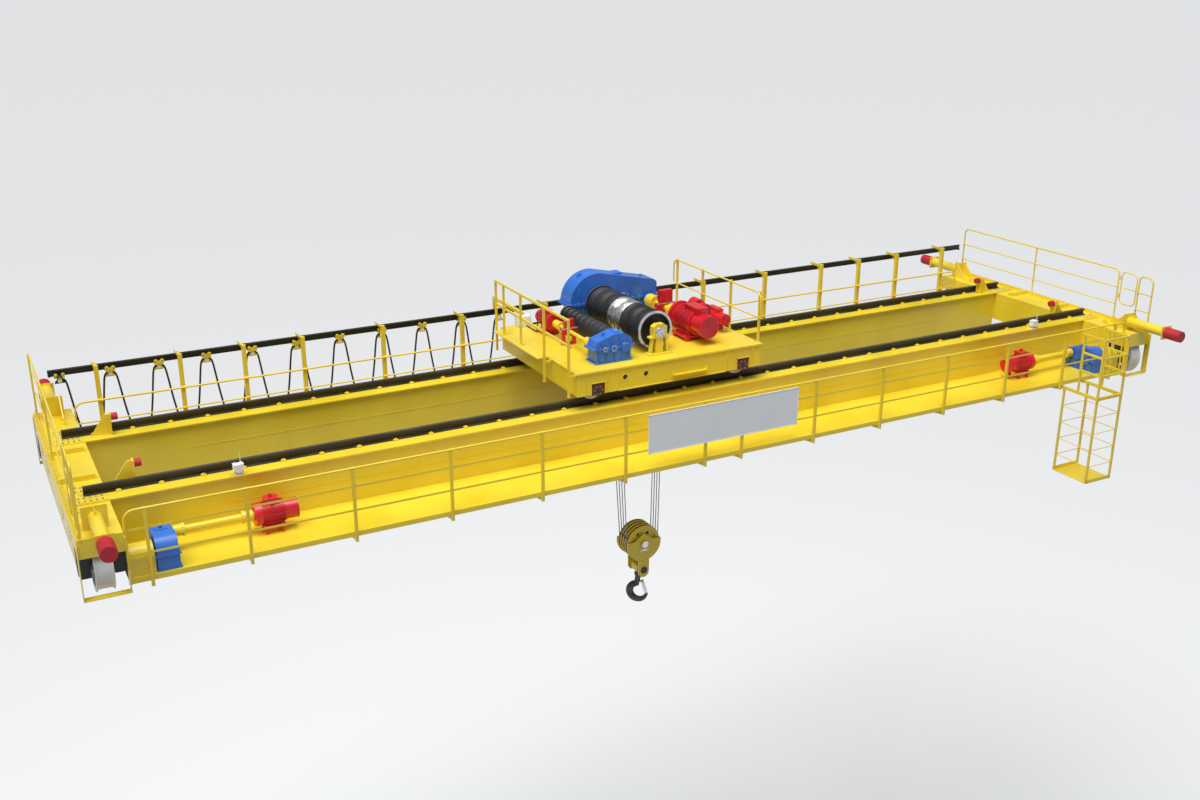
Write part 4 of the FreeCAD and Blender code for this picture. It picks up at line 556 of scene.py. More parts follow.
# %% Splice plates that bolt each girder down on its end carriage
bm = bmesh.new()
splice_spots = []
for y in (-1.25, 1.25):
    for side in (-1, 1):
        block(bm, (-0.150, 0.300), (y + side * 0.110, y + side * 0.300), (0.620, 0.630), 0.003)
        for x in (-0.10, -0.02, 0.06, 0.14, 0.22):
            for dy in (0.145, 0.265):
                splice_spots.append(((x, y + side * dy, 0.630), Z))
mirrored_too(bm, 0, MID)
hung(bm, "girder_splices", "bridge", yellow)
bolts("splice_bolts", "bridge", mirror_spots(splice_spots), 0.014)

# %% [markdown]
# ## End carriages, wheels and buffers
# The carriages are closed boxes with hand holes, lifting lugs and bolted wheel housings.
# The wheels are castings: a rim with two flanges, a thin web with round holes and a hub.
# The solid wheel is plain, so a turned wheel with a holed web takes its place.

# %% Covers, lugs and stiffeners on the carriages
bm = bmesh.new()
cover_spots = []
for y in (-1.75, -0.95, 0.95, 1.75):
    disc(bm, (-0.300, y, 0.30), -X, 0.105, 0.005)
    cover_spots += round_spots((-0.305, y, 0.30), -X, 0.085, 8)
for y in (-2.05, -0.15, 0.15, 2.05):
    block(bm, (0.300, 0.308), (y - 0.004, y + 0.004), (0.02, 0.58))
for y in (-1.95, 1.95):
    for x in (-0.12, 0.12):
        plate(bm, [(x - 0.006, y - 0.07, 0.600), (x - 0.006, y + 0.07, 0.600), (x - 0.006, y + 0.045, 0.690),
                   (x - 0.006, y - 0.045, 0.690)], (0.012, 0, 0))
block(bm, (-0.304, -0.300), (-2.14, 2.14), (0.585, 0.597))
block(bm, (-0.304, -0.300), (-2.14, 2.14), (0.003, 0.013))
mirrored_too(bm, 0, MID)
hung(bm, "carriage_fittings", "bridge", yellow)
grown("cover_screws", "bridge", bolt_tree, mirror_spots(cover_spots), zinc, Head=0.007, Height=0.005,
      Washer=0.008)

# %% Bolted caps on the wheels' axle boxes
bm = bmesh.new()
cap_spots = []
for y in (-2.37, 2.37):
    for x, way in ((-0.300, -1), (0.300, 1)):
        if way > 0 and y < 0:
            ring(bm, (x, y, 0.05), X * way, 0.075, 0.125, 0.008)
        else:
            disc(bm, (x, y, 0.05), X * way, 0.125, 0.007)
        cap_spots += round_spots((x + way * 0.006, y, 0.05), X * way, 0.105, 8)
mirrored_too(bm, 0, MID)
hung(bm, "axle_box_caps", "bridge", cast)
grown("axle_cap_bolts", "bridge", bolt_tree, mirror_spots(cap_spots), zinc, Head=0.010, Height=0.004,
      Washer=0.012)

# %% A turned wheel with a holed web


def holed_web(bm, origin, direction, inner, outer, hole, middle, count, thick):
    """A flat ring with round holes, cut out of quads between the ring's two edges."""
    place = Matrix.Translation(Vector(origin)) @ frame_along(direction)
    steps = 12
    for k in range(count):
        mid_angle = 2 * math.pi * k / count
        half = math.pi / count
        edge = []
        for i in range(steps):
            t = 2 * math.pi * i / steps + math.pi / steps
            c, s = math.cos(t), math.sin(t)
            grow = min(1 / max(abs(c), 1e-6), 1 / max(abs(s), 1e-6))
            u, v = c * grow, s * grow
            radius = (inner + outer) / 2 + u * (outer - inner) / 2
            angle = mid_angle + v * half
            edge.append(((middle + hole * c) * math.cos(mid_angle) - hole * s * math.sin(mid_angle),
                         (middle + hole * c) * math.sin(mid_angle) + hole * s * math.cos(mid_angle),
                         radius * math.cos(angle), radius * math.sin(angle)))
        low = [(bm.verts.new(place @ Vector((a, b, -thick / 2))),
                bm.verts.new(place @ Vector((c, d, -thick / 2))))
               for a, b, c, d in edge]
        high = [(bm.verts.new(place @ Vector((a, b, thick / 2))),
                 bm.verts.new(place @ Vector((c, d, thick / 2))))
                for a, b, c, d in edge]
        for i in range(steps):
            j = (i + 1) % steps
            bm.faces.new([low[i][0], low[j][0], low[j][1], low[i][1]])
            bm.faces.new([high[i][1], high[j][1], high[j][0], high[i][0]])
            bm.faces.new([low[i][0], high[i][0], high[j][0], low[j][0]])
            bm.faces.new([low[i][1], low[j][1], high[j][1], high[i][1]])


def wheel_rim(bm, origin, direction, half, tread, flange, lip, inner, sides=64):
    outline = [(-half, inner), (-half, flange - 0.008), (-half + 0.006, flange),
               (-half + lip * 0.6, flange - 0.004),
               (-half + lip, tread + 0.006), (-half + lip + 0.012, tread), (half - lip - 0.012, tread),
               (half - lip, tread + 0.006), (half - lip * 0.6, flange - 0.004), (half - 0.006, flange),
               (half, flange - 0.008), (half, inner), (-half, inner)]
    turned(bm, origin, direction, outline, sides)


# %% The four bridge wheels
for name, x, y in (("front_left", 0, -2.37), ("front_right", SPAN, -2.37), ("rear_left", 0, 2.37),
                   ("rear_right", SPAN, 2.37)):
    bm = bmesh.new()
    centre = Vector((x, y, 0.05))
    wheel_rim(bm, centre, X, 0.125, 0.350, 0.380, 0.030, 0.300)
    holed_web(bm, centre, X, 0.112, 0.305, 0.048, 0.208, 8, 0.040)
    ring(bm, centre - X * 0.11, X, 0.055, 0.120, 0.22)
    turned(bm, centre - X * 0.125, X, [(0, 0), (0, 0.095), (0.008, 0.1), (0.242, 0.1), (0.25, 0.095),
                                       (0.25, 0)])
    driven = y < 0
    way = 1 if x < MID else -1
    disc(bm, centre - X * way * 0.290, X * way, 0.060, 0.290 + (0.6847 if driven else 0.290), 24)
    wheel = hung(bm, "wheel_" + name, "bridge_wheel_" + name, wheel_skin)
    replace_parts(wheel, "bridge_wheel_" + name)

# %% Buffers: bolts through the square flange, ribs on the tube, grooves in the rubber
bm = bmesh.new()
buffer_spots = []
for y in (-1, 1):
    for x in (-0.095, 0.095):
        for z in (-0.095, 0.095):
            buffer_spots.append(((x, y * 3.330, 0.77 + z), -Y * y))
    block(bm, (-0.006, 0.006), (y * 2.45, y * 2.62), (0.865, 0.930))
    plate(bm, [(-0.006, y * 3.33, 0.865), (-0.006, y * 3.33, 0.897), (-0.006, y * 3.20, 0.868)],
          (0.012, 0, 0))
    plate(bm, [(-0.006, y * 3.33, 0.675), (-0.006, y * 3.33, 0.643), (-0.006, y * 3.20, 0.672)],
          (0.012, 0, 0))
mirrored_too(bm, 0, MID)
hung(bm, "buffer_ribs", "bridge", yellow)
bolts("buffer_bolts", "bridge", mirror_spots(buffer_spots), 0.014)
bm = bmesh.new()
for y in (-1, 1):
    for k in range(5):
        ring(bm, (0, y * (3.40 + 0.055 * k), 0.77), Y * y, 0.108, 0.1145, 0.022, 36)
mirrored_too(bm, 0, MID)
hung(bm, "buffer_pad_rings", "bridge", rubber)

# %% [markdown]
# ## Travel drives
# Each driven wheel has a blue reducer, a floating shaft and a red motor on the walkway.
# A reducer's case is split, so it shows a row of bolts along the split flange, ribs that
# carry the bearings, bolted bearing covers, an inspection lid and an oil plug.

# %% Reducer ribs, covers and bolts
bm = bmesh.new()
reducer_spots = []
for x, way in ((0.710, -1), (1.010, 1)):
    for y in (-2.50, -2.33, -2.16, -1.95):
        block(bm, (x, x + way * 0.014), (y - 0.008, y + 0.008), (-0.15, 0.046), 0.002)
    for y in (-2.45, -2.33, -2.21):
        block(bm, (x, x + way * 0.012), (y - 0.007, y + 0.007),
              (0.075, 0.075 + 0.21 * (1 if y == -2.33 else 0.8)), 0.002)
    for y in (-2.53, -2.42, -2.24, -2.10, -1.86):
        reducer_spots.append(((x + way * 0.013, y, 0.074), Z))
    disc(bm, (x, -2.33, 0.06), X * way, 0.105, 0.016, 32)
    reducer_spots += round_spots((x + way * 0.014, -2.33, 0.06), X * way, 0.085, 6, 0.5)
    disc(bm, (x, -2.10, 0.06), X * way, 0.062, 0.012, 28)
for y in (-2.50, -2.30, -2.10, -1.88):
    for x in (0.697, 1.023):
        reducer_spots.append(((x, y, -0.150), Z))
block(bm, (0.77, 0.95), (-2.14, -2.00), (0.258, 0.270), 0.004)
turned(bm, (0.86, -2.07, 0.270), Z, [(0, 0), (0, 0.022), (0.03, 0.022), (0.034, 0.03), (0.055, 0.03),
                                     (0.06, 0)], 16)
mirrored_too(bm, 0, MID)
hung(bm, "travel_reducer_fittings", "bridge", blue)
bolts("travel_reducer_bolts", "bridge", mirror_spots(reducer_spots), 0.010)

# %% Motor fins, cowl ring, terminal box lid and feet
bm = bmesh.new()
motor_spots = []
for x in (2.205, 2.285, 2.655, 2.832):
    ring(bm, (x, -1.95, 0.12), X, 0.140, 0.176 if x < 2.3 else 0.158, 0.010, 40)
for k in range(7):
    ring(bm, (2.838, -1.95, 0.12), X, 0.018 + 0.019 * k, 0.026 + 0.019 * k, 0.004, 36)
block(bm, (2.355, 2.570), (-2.045, -1.855), (0.354, 0.362), 0.003)
turned(bm, (2.46, -2.036, 0.30), -Y, [(0, 0), (0, 0.020), (0.03, 0.020), (0.03, 0.014), (0.05, 0.014),
                                      (0.05, 0)], 14)
for x in (2.375, 2.550):
    for y in (-2.03, -1.87):
        motor_spots.append(((x, y, 0.362), Z))
for x in (2.32, 2.58):
    for side in (-1, 1):
        motor_spots.append(((x, -1.95 + side * 0.135, -0.038), Z))
ring(bm, (2.46, -1.965, 0.39), Y, 0.016, 0.028, 0.030, 18)
mirrored_too(bm, 0, MID)
hung(bm, "travel_motor_fittings", "bridge", red)
bolts("travel_motor_bolts", "bridge", mirror_spots(motor_spots), 0.009)
fin_spots = [((2.47, -1.95, 0.12), X), ((SPAN - 2.47, -1.95, 0.12), X)]
grown("travel_motor_fins", "bridge", fin_tree, fin_spots, red, Fins=36, Middle=0.166, Height=0.018,
      Thickness=0.005, Length=0.33)

# %% Coupling bolts, the hood's ribs and the bolts along its foot
bm = bmesh.new()
coupling_spots = round_spots((1.170, -1.95, 0.12), -X, 0.085, 8)
coupling_spots += round_spots((2.050, -1.95, 0.12), X, 0.085, 8)
for y, side in ((-2.37 - 0.19, -1), (-2.37 + 0.19, 1)):
    block(bm, (0.325, 0.680), (y, y + side * 0.030), (-0.175, -0.167), 0.002)
    for x in (0.36, 0.50, 0.64):
        coupling_spots.append(((x, y + side * 0.016, -0.166), Z))
mirrored_too(bm, 0, MID)
hung(bm, "hood_feet", "bridge", yellow)
bolts("travel_line_bolts", "bridge", mirror_spots(coupling_spots), 0.008)

# %% [markdown]
# ## Walkways and railings
# The walkway floors are welded from sheets, so a low seam crosses the floor every metre
# and a half. The posts stand on foot plates, bolted through the floor's edge, and each
# bar has a short sleeve where it meets a post.

# %% Floor seams and the posts' foot plates
bm = bmesh.new()
foot_spots = []
for k in range(13):
    x = 0.75 + 1.546 * k
    block(bm, (x - 0.005, x + 0.005), (-2.590, -1.512), (-0.1755, -0.1735))
    block(bm, (x - 0.005, x + 0.005), (1.512, 2.350), (-0.1755, -0.1735))
for offset in (0.37, 1.92, 3.43, 4.97, 6.50, 8.05, 9.42):
    for x in (MID - offset, MID + offset):
        block(bm, (x - 0.026, x + 0.026), (-2.648, -2.596), (-0.326, -0.320), 0.002)
        foot_spots += [((x, -2.645, -0.215), -Y), ((x, -2.645, -0.262), -Y)]
for offset in (0.95, 2.72, 4.29, 5.79, 6.84, 7.93, 9.29):
    for x in (MID - offset, MID + offset):
        block(bm, (x - 0.070, x + 0.070), (2.200, 2.358), (-0.175, -0.163), 0.003)
        for dx in (-0.052, 0.052):
            foot_spots += [((x + dx, 2.222, -0.162), Z), ((x + dx, 2.340, -0.162), Z)]
hung(bm, "floor_seams_and_feet", "bridge", yellow)
bolts("post_foot_bolts", "bridge", foot_spots, 0.008)

# %% Sleeves on the railing bars
sleeve_tree, start = new_tree("bar sleeve", {"Radius": 0.021, "Length": 0.05})
sleeve_shape = shape_node(sleeve_tree, "GeometryNodeMeshCylinder", Vertices=14,
                          Radius=start.outputs["Radius"],
                          Depth=start.outputs["Length"])
end_tree(sleeve_tree, start, sleeve_shape)
sleeves, low_sleeves = [], []
for offset in (0.37, 1.92, 3.43, 4.97, 6.50, 8.05, 9.42):
    for x in (MID - offset, MID + offset):
        sleeves.append(((x, -2.622, 0.85), X))
for offset in (0.95, 2.72, 4.29, 5.79, 6.84, 7.93, 9.29):
    for x in (MID - offset, MID + offset):
        sleeves.append(((x, 2.2787, 0.815), X))
        low_sleeves.append(((x, 2.2827, 0.45), X))
grown("rail_sleeves", "bridge", sleeve_tree, sleeves, yellow, Radius=0.0205, Length=0.085)
grown("low_rail_sleeves", "bridge", sleeve_tree, low_sleeves, yellow, Radius=0.0165, Length=0.085)

# %% The sign's edge frame and rivets, and the cage's fittings
bm = bmesh.new()
x0, x1, z0, z1, y = MID - 1.51, MID + 1.51, 0.115, 0.805, -2.656
block(bm, (x0, x1), (y - 0.004, y), (z1 - 0.012, z1))
block(bm, (x0, x1), (y - 0.004, y), (z0, z0 + 0.012))
block(bm, (x0, x0 + 0.012), (y - 0.004, y), (z0, z1))
block(bm, (x1 - 0.012, x1), (y - 0.004, y), (z0, z1))
hung(bm, "sign_edge", "bridge", white)
rivets = [((x0 + 0.03 + 0.37 * k, y, z), -Y) for k in range(9) for z in (z0 + 0.03, z1 - 0.03)]
grown("sign_screws", "bridge", bolt_tree, rivets, zinc, Head=0.006, Height=0.004, Washer=0.009)
bm = bmesh.new()
cage_spots = []
for x in (18.155, 18.805):
    for y in (-2.56, -2.46, -1.62):
        cage_spots.append(((x, y, -0.318), -Z))
    block(bm, (x - 0.05, x + 0.05), (-1.600, -1.5103), (-0.325, -0.240), 0.003)
for x in (18.13, 18.83):
    for y in (-3.51, -2.66):
        dx = 0.07 if x < 18.5 else -0.07
        dy = 0.07 if y < -3 else -0.07
        inside = y + math.copysign(0.001, dy)
        for level, reach in ((-2.046, 0.070), (-0.312, -0.070)):
            corners = [(x, inside, level), (x + dx, inside, level), (x, inside, level + reach)]
            plate(bm, corners, (0, math.copysign(0.006, dy), 0))
block(bm, (18.131, 18.829), (-3.509, -3.502), (-2.048, -1.985), 0.002)
block(bm, (18.131, 18.829), (-2.668, -2.661), (-2.048, -1.985), 0.002)
hung(bm, "cage_gussets", "bridge", yellow)
bolts("cage_bolts", "bridge", cage_spots, 0.010)

# %% [markdown]
# ## Festoon
# The supply cable hangs in loops from small carriers that roll along an I-beam, so that it
# folds and stretches as the trolley travels. A carrier is two cheeks in the shape of a bow
# tie, with a roller in each lobe and a pale clamp below that grips the cable.

# %% Carrier cheeks, rollers and clamps


def carrier_dress(x, name, body):
    bm = bmesh.new()
    spots = []
    for side in (-1, 1):
        y = 2.55 + side * 0.056
        way = Y * side
        for dx in (-0.058, 0.058):
            disc(bm, (x + dx, y - side * 0.004, 1.286), way, 0.027, 0.012, 20)
            disc(bm, (x + dx, y - side * 0.004, 1.234), way, 0.018, 0.008, 18)
            spots.append(((x + dx, y + side * 0.008, 1.286), way))
        spots.append(((x, y, 1.245), way))
    hung(bm, name + "_lobes", body, yellow)
    grown(name + "_bolts", body, bolt_tree, spots, zinc, Head=0.009, Height=0.005, Washer=0.012)
    bm = bmesh.new()
    for side in (-1, 1):
        block(bm, (x - 0.032, x + 0.032), (2.55 + side * 0.0275, 2.55 + side * 0.036), (1.140, 1.215), 0.003)
    block(bm, (x - 0.026, x + 0.026), (2.55 - 0.036, 2.55 + 0.036), (1.2205, 1.2235), 0.001)
    hung(bm, name + "_clamp", body, white)


carrier_dress(0.18, "end_clamp", "bridge")
for k in range(1, 10):
    carrier_dress(0.18 + 0.8 * k, "carrier_%d" % k, "cable_carrier_%d" % k)
bm = bmesh.new()
for side in (-1, 1):
    block(bm, (8.18 - 0.032, 8.18 + 0.032), (2.55 + side * 0.0275, 2.55 + side * 0.036), (1.140, 1.215),
          0.003)
hung(bm, "tow_clamp", "trolley", white)

# %% Hangers that clamp the beam below each rear post's arm
bm = bmesh.new()
hanger_spots = []
for offset in (0.95, 2.72, 4.29, 5.79, 6.84, 7.93, 9.29):
    for x in (MID - offset, MID + offset):
        for side in (-1, 1):
            block(bm, (x - 0.030, x + 0.030), (2.55 + side * 0.036, 2.55 + side * 0.062), (1.348, 1.3598),
                  0.002)
            hanger_spots.append(((x, 2.55 + side * 0.050, 1.3485), -Z))
            hanger_spots.append(((x, 2.55 + side * 0.050, 1.368), Z))
        plate(bm, [(x - 0.004, 2.366, 1.36), (x - 0.004, 2.366, 1.20), (x - 0.004, 2.50, 1.36)],
              (0.008, 0, 0))
hung(bm, "beam_hangers", "bridge", yellow)
bolts("beam_hanger_bolts", "bridge", hanger_spots, 0.008)
bm = bmesh.new()
for x in (0.03, 20.03):
    block(bm, (x - 0.006, x + 0.006), (2.515, 2.585), (1.240, 1.259), 0.001)
hung(bm, "beam_end_stops", "bridge", black)

# %% [markdown]
# ## The cable itself
# Ten equal loops of round cable, each laid over one saddle and hung down to the next. The
# route is a curve on a few points, straight down below the saddles and round at the
# bottom, and the mesh is a tube along the line read back from that curve. Each loop hangs
# between two neighbouring carriers.

# %% One loop's route, and the line read back from its curve
CABLE = 0.034
CABLE_TOP = 1.2033
LOOP_HALF = ((0.001, 0), (0.038, 0), (0.096, 0.050), (0.128, 0.270), (0.168, 0.590), (0.216, 0.890),
             (0.266, 1.130), (0.330, 1.262))


def loop_line(xa):
    xb = xa + 0.8
    route = [(xa + dx, 2.55, CABLE_TOP - drop) for dx, drop in LOOP_HALF]
    route += [(xb - dx, 2.55, CABLE_TOP - drop) for dx, drop in reversed(LOOP_HALF)]
    curve = bpy.data.curves.new("cable route", "CURVE")
    curve.dimensions = "3D"
    spline = curve.splines.new("NURBS")
    spline.points.add(len(route) - 1)
    for point, place in zip(spline.points, route):
        point.co = (*place, 1.0)
    spline.order_u = 3
    spline.use_endpoint_u = True
    spline.resolution_u = 8
    holder = bpy.data.objects.new("cable route", curve)
    bpy.context.scene.collection.objects.link(holder)
    graph = bpy.context.evaluated_depsgraph_get()
    mesh = bpy.data.meshes.new_from_object(holder.evaluated_get(graph))
    line = [v.co.copy() for v in mesh.vertices]
    bpy.data.objects.remove(holder)
    bpy.data.meshes.remove(mesh)
    return line


def line_length(line):
    return sum((b - a).length for a, b in zip(line, line[1:]))


# %% The ten loops
loops = []
for k in range(10):
    xa = 0.18 + 0.8 * k
    line = loop_line(xa)
    bm = bmesh.new()
    bar(bm, line, CABLE / 2, 14)
    loop = closed(bm, "cable_loop_%d" % (k + 1), sheath, 60)
    if k == 9:
        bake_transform(loop)
    else:
        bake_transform(loop)
    loops.append(loop)
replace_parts(loops[0], "festoon_cable")
print("cable loop", round(line_length(line), 3), "m, ten of them")

# %% Limit switches and rail end stops
bm = bmesh.new()
switch_spots = []
for x in (2.13, 18.33):
    for z in (0.700, 0.745, 0.790):
        block(bm, (x - 0.078, x + 0.078), (-1.578, -1.468), (z - 0.0015, z + 0.0015))
    block(bm, (x - 0.064, x + 0.064), (-1.573, -1.569), (0.69, 0.775), 0.001)
    turned(bm, (x + 0.030, -1.563, 0.825), Z, [(0, 0), (0, 0.014), (0.012, 0.014), (0.014, 0.005),
                                               (0.16, 0.005), (0.165, 0)], 12)
    for dx in (-0.055, 0.055):
        switch_spots.append(((x + dx, -1.574, 0.702), -Y))
        switch_spots.append(((x + dx, -1.574, 0.765), -Y))
hung(bm, "switch_covers", "bridge", white)
bm = bmesh.new()
for x in (2.13, 18.33):
    for dx in (-0.052, 0.052):
        for y in (-1.560, -1.480):
            block(bm, (x + dx - 0.004, x + dx + 0.004), (y - 0.008, y + 0.008), (0.628, 0.682))
for x, way in ((0.730, 1), (SPAN - 0.730, -1)):
    for y in (-1.085, 1.085):
        disc(bm, (x, y, 0.915), X * way, 0.072, 0.008, 24)
        block(bm, (x - way * 0.33, x), (y - 0.055, y + 0.055), (0.620, 0.630), 0.002)
hung(bm, "switch_and_stop_fittings", "bridge", yellow)
grown("switch_screws", "bridge", bolt_tree, switch_spots, zinc, Head=0.005, Height=0.004, Washer=0.006)

# %% [markdown]
# ## The trolley
# The trolley is a deck on two side boxes. Its machines stand in lines: motor, brake and
# coupling on the fast side, the reducer at the rear, and the drum on the slow side. The
# small hoist repeats this at the left.

# %% Side plates: stiffeners, gussets, rims of the holes and the step's legs
bm = bmesh.new()
deck_spots = []
for side in (-1, 1):
    y = side * 1.530
    for x in (7.93, 8.36, 8.56, 10.75, 10.93, 11.31, 11.45):
        block(bm, (x - 0.005, x + 0.005), (y, y + side * 0.026), (0.90, 1.268))
    block(bm, (8.56, 10.75), (y, y + side * 0.022), (0.880, 0.892))
    for x in (8.60, 9.40, 10.20, 10.71):
        plate(bm, [(x - 0.004, y, 1.268), (x - 0.004, y + side * 0.028, 1.268), (x - 0.004, y, 1.200)],
              (0.008, 0, 0))
    for x in (8.18, 11.12):
        for dx in (-0.135, 0.135):
            block(bm, (x + dx - 0.005, x + dx + 0.005), (y, y + side * 0.020), (0.882, 1.088))
        block(bm, (x - 0.14, x + 0.14), (y, y + side * 0.020), (1.080, 1.090))
for x in (8.70, 9.11):
    ring(bm, (x, -1.530, 1.105), -Y, 0.046, 0.062, 0.010, 28)
for x in (9.64, 10.32):
    plate(bm, [(x - 0.006, -1.53, 1.005), (x - 0.006, -1.598, 1.005), (x - 0.006, -1.53, 1.075)],
          (0.012, 0, 0))
for x in (7.80, 8.70, 9.65, 10.60, 11.50):
    block(bm, (x - 0.004, x + 0.004), (-1.556, 1.556), (1.2895, 1.2915))
block(bm, (7.775, 11.525), (-1.558, -1.550), (1.290, 1.300), 0.001)
block(bm, (7.775, 11.525), (1.550, 1.558), (1.290, 1.300), 0.001)
hung(bm, "trolley_stiffeners", "trolley", yellow)

# %% Trolley wheel housings: red seal, pale wheel rim and cap bolts
bm = bmesh.new()
seal = bmesh.new()
housing_spots = []
for x in (8.18, 11.12):
    for side in (-1, 1):
        way = Y * side
        disc(bm, (x, side * 1.530, 0.9503), way, 0.088, 0.012, 30)
        disc(bm, (x, side * 1.541, 0.9503), way, 0.042, 0.008, 24)
        ring(seal, (x, side * 1.530, 0.9503), way, 0.088, 0.103, 0.009, 32)
        housing_spots += round_spots((x, side * 1.5425, 0.9503), way, 0.066, 6)
hung(bm, "trolley_bearing_caps", "trolley", cast)
hung(seal, "trolley_bearing_seals", "trolley", rubber)
# Black discs set just inside the two side holes: painted shade for the dark inside of the holes.
bm = bmesh.new()
for x in (8.70, 9.11):
    disc(bm, (x, -1.518, 1.105), -Y, 0.0455, 0.010, 28)
hung(bm, "side_hole_shade_discs", "trolley", black)
bolts("trolley_bearing_bolts", "trolley", housing_spots, 0.008)
for name, x in (("left", 8.18), ("right", 11.12)):
    bm = bmesh.new()
    for y in (-1.25, 1.25):
        centre = Vector((x, y, 0.9503))
        wheel_rim(bm, centre, Y, 0.065, 0.200, 0.225, 0.022, 0.160, 56)
        holed_web(bm, centre, Y, 0.068, 0.164, 0.028, 0.116, 6, 0.034)
        disc(bm, centre - Y * 0.062, Y, 0.074, 0.124, 28)
    disc(bm, (x, -1.50, 0.9503), Y, 0.040, 3.0, 24)
    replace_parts(hung(bm, "trolley_wheels_" + name, "trolley_wheelset_" + name, wheel_skin),
                "trolley_wheelset_" + name)

# %% Main reducer: ribs, bearing bosses, split bolts, lid and lifting eyes
bm = bmesh.new()
box_spots = []
for y, side in ((1.000, -1), (1.420, 1)):
    for x in (9.10, 9.33, 9.51, 9.69, 9.95, 10.25, 10.50, 10.72):
        low = 1.335
        block(bm, (x - 0.011, x + 0.011), (y, y + side * 0.022), (low, 1.668), 0.003)
    for x, top in ((9.14, 2.00), (9.33, 2.16), (9.69, 2.19), (9.95, 2.10), (10.25, 2.03), (10.52, 1.95)):
        block(bm, (x - 0.010, x + 0.010), (y, y + side * 0.018), (1.712, top), 0.003)
    for x, r in ((10.08, 0.135), (HOIST_MOTOR_X, 0.100)):
        disc(bm, (x, y, 1.69 if x < 10.2 else 1.62), Y * side, r, 0.034, 36, 0.006)
        box_spots += round_spots((x, y + side * 0.032, 1.69 if x < 10.2 else 1.62), Y * side, r - 0.022, 8)
    if side > 0:
        disc(bm, (MAIN_DRUM_X, y, 1.69), Y, 0.19, 0.034, 40, 0.006)
        box_spots += round_spots((MAIN_DRUM_X, y + 0.032, 1.69), Y, 0.162, 10)
    for x in (8.95, 9.12, 9.30, 9.84, 9.98, 10.26, 10.42, 10.80):
        box_spots.append(((x, y + side * 0.014, 1.713), Z))
        box_spots.append(((x, y + side * 0.014, 1.667), -Z))
    for x in (9.02, 9.40, 9.80, 10.20, 10.60, 10.82):
        box_spots.append(((x, y + side * 0.014, 1.331), Z))
block(bm, (9.80, 10.10), (1.10, 1.32), (2.155, 2.185), 0.004)
for x, z in ((9.25, 2.16), (10.40, 1.98)):
    ring(bm, (x, 1.20, z + 0.03), Y, 0.028, 0.050, 0.022, 24)
turned(bm, (10.62, 1.30, 1.98), Z, [(0, 0), (0, 0.022), (0.03, 0.022), (0.034, 0.032), (0.06, 0.032),
                                    (0.065, 0)], 16)
hung(bm, "hoist_reducer_fittings", "trolley", blue)
bolts("hoist_reducer_bolts", "trolley", box_spots, 0.014)

# %% Small reducer: rounded ribs below the split, bosses and light bolts
bm = bmesh.new()
small_spots = []
for y, side in ((-1.230, -1), (-0.910, 1)):
    for x in (8.36, 8.50, 8.66, 8.80, 8.93):
        block(bm, (x - 0.010, x + 0.010), (y, y + side * 0.018), (1.318, 1.533), 0.003)
    for x, top in ((8.42, 1.66), (8.60, 1.74), (8.76, 1.77), (8.92, 1.70)):
        block(bm, (x - 0.008, x + 0.008), (y, y + side * 0.014), (1.566, top), 0.003)
    for x, r in ((8.86, 0.080), (8.64, 0.062), (8.47, 0.050)):
        disc(bm, (x, y, 1.545), Y * side, r, 0.030, 30, 0.005)
        small_spots += round_spots((x, y + side * 0.029, 1.545), Y * side, r - 0.016, 6)
    for x in (8.26, 8.40, 8.55, 8.75, 8.98, 9.04):
        small_spots.append(((x, y - side * 0.002, 1.566), Z))
    for x in (8.32, 8.50, 8.70, 8.90, 8.97):
        small_spots.append(((x, y + side * 0.006, 1.316), Z))
block(bm, (8.70, 8.82), (-1.16, -0.98), (1.788, 1.800), 0.003)
ring(bm, (8.52, -1.08, 1.76), Y, 0.018, 0.034, 0.020, 20)
hung(bm, "aux_reducer_fittings", "trolley", blue)
bolts("aux_reducer_bolts", "trolley", small_spots, 0.010, steel)

# %% Motors of the trolley: rings, cowl grilles, lids and eyes


def motor_rings(bm, x, z, y0, y1, r, fan):
    """fan is the Y value of the cowl's open end; the rings follow the motor's parts."""
    way = -1 if fan < (y0 + y1) / 2 else 1
    length = y1 - y0
    for share, size in ((0.03, 0.84), (0.33, 0.85), (0.40, 0.99), (0.90, 1.0)):
        y = fan - way * share * length
        ring(bm, (x, y, z), Y, r * 0.78, r * size, 0.012, 44)
    for k in range(8):
        inner = r * (0.10 + 0.085 * k)
        ring(bm, (x, fan, z), Y * way, inner, inner + r * 0.035, 0.005, 40)
    mid = fan - way * 0.44 * length
    top = z + 1.16 * r
    block(bm, (x - 0.47 * r, x + 0.47 * r), (mid - 0.225 * length, mid + 0.225 * length), (top, top + 0.010),
          0.003)
    ring(bm, (x, fan - way * 0.78 * length, z + 1.02 * r), X, r * 0.07, r * 0.13, 0.018, 20)


bm = bmesh.new()
motor_rings(bm, HOIST_MOTOR_X, 1.62, -1.19, -0.18, 0.25, -1.19)
motor_rings(bm, AUX_MOTOR_X, 1.54, 0.64, 1.18, 0.15, 1.18)
motor_rings(bm, DRIVE_MOTOR_X, 1.54, -0.70, 0.10, 0.135, -0.70)
hung(bm, "trolley_motor_rings", "trolley", red)
grown("hoist_motor_fins", "trolley", fin_tree, [((HOIST_MOTOR_X, -0.55, 1.62), Y)], red, Fins=44,
      Middle=0.240, Height=0.022,
      Thickness=0.006, Length=0.44)
grown("aux_motor_fins", "trolley", fin_tree, [((AUX_MOTOR_X, 0.84, 1.54), Y)], red, Fins=32, Middle=0.145,
      Height=0.014,
      Thickness=0.004, Length=0.22)
grown("drive_motor_fins", "trolley", fin_tree, [((DRIVE_MOTOR_X, -0.20, 1.54), Y)], red, Fins=30,
      Middle=0.131, Height=0.012,
      Thickness=0.004, Length=0.32)
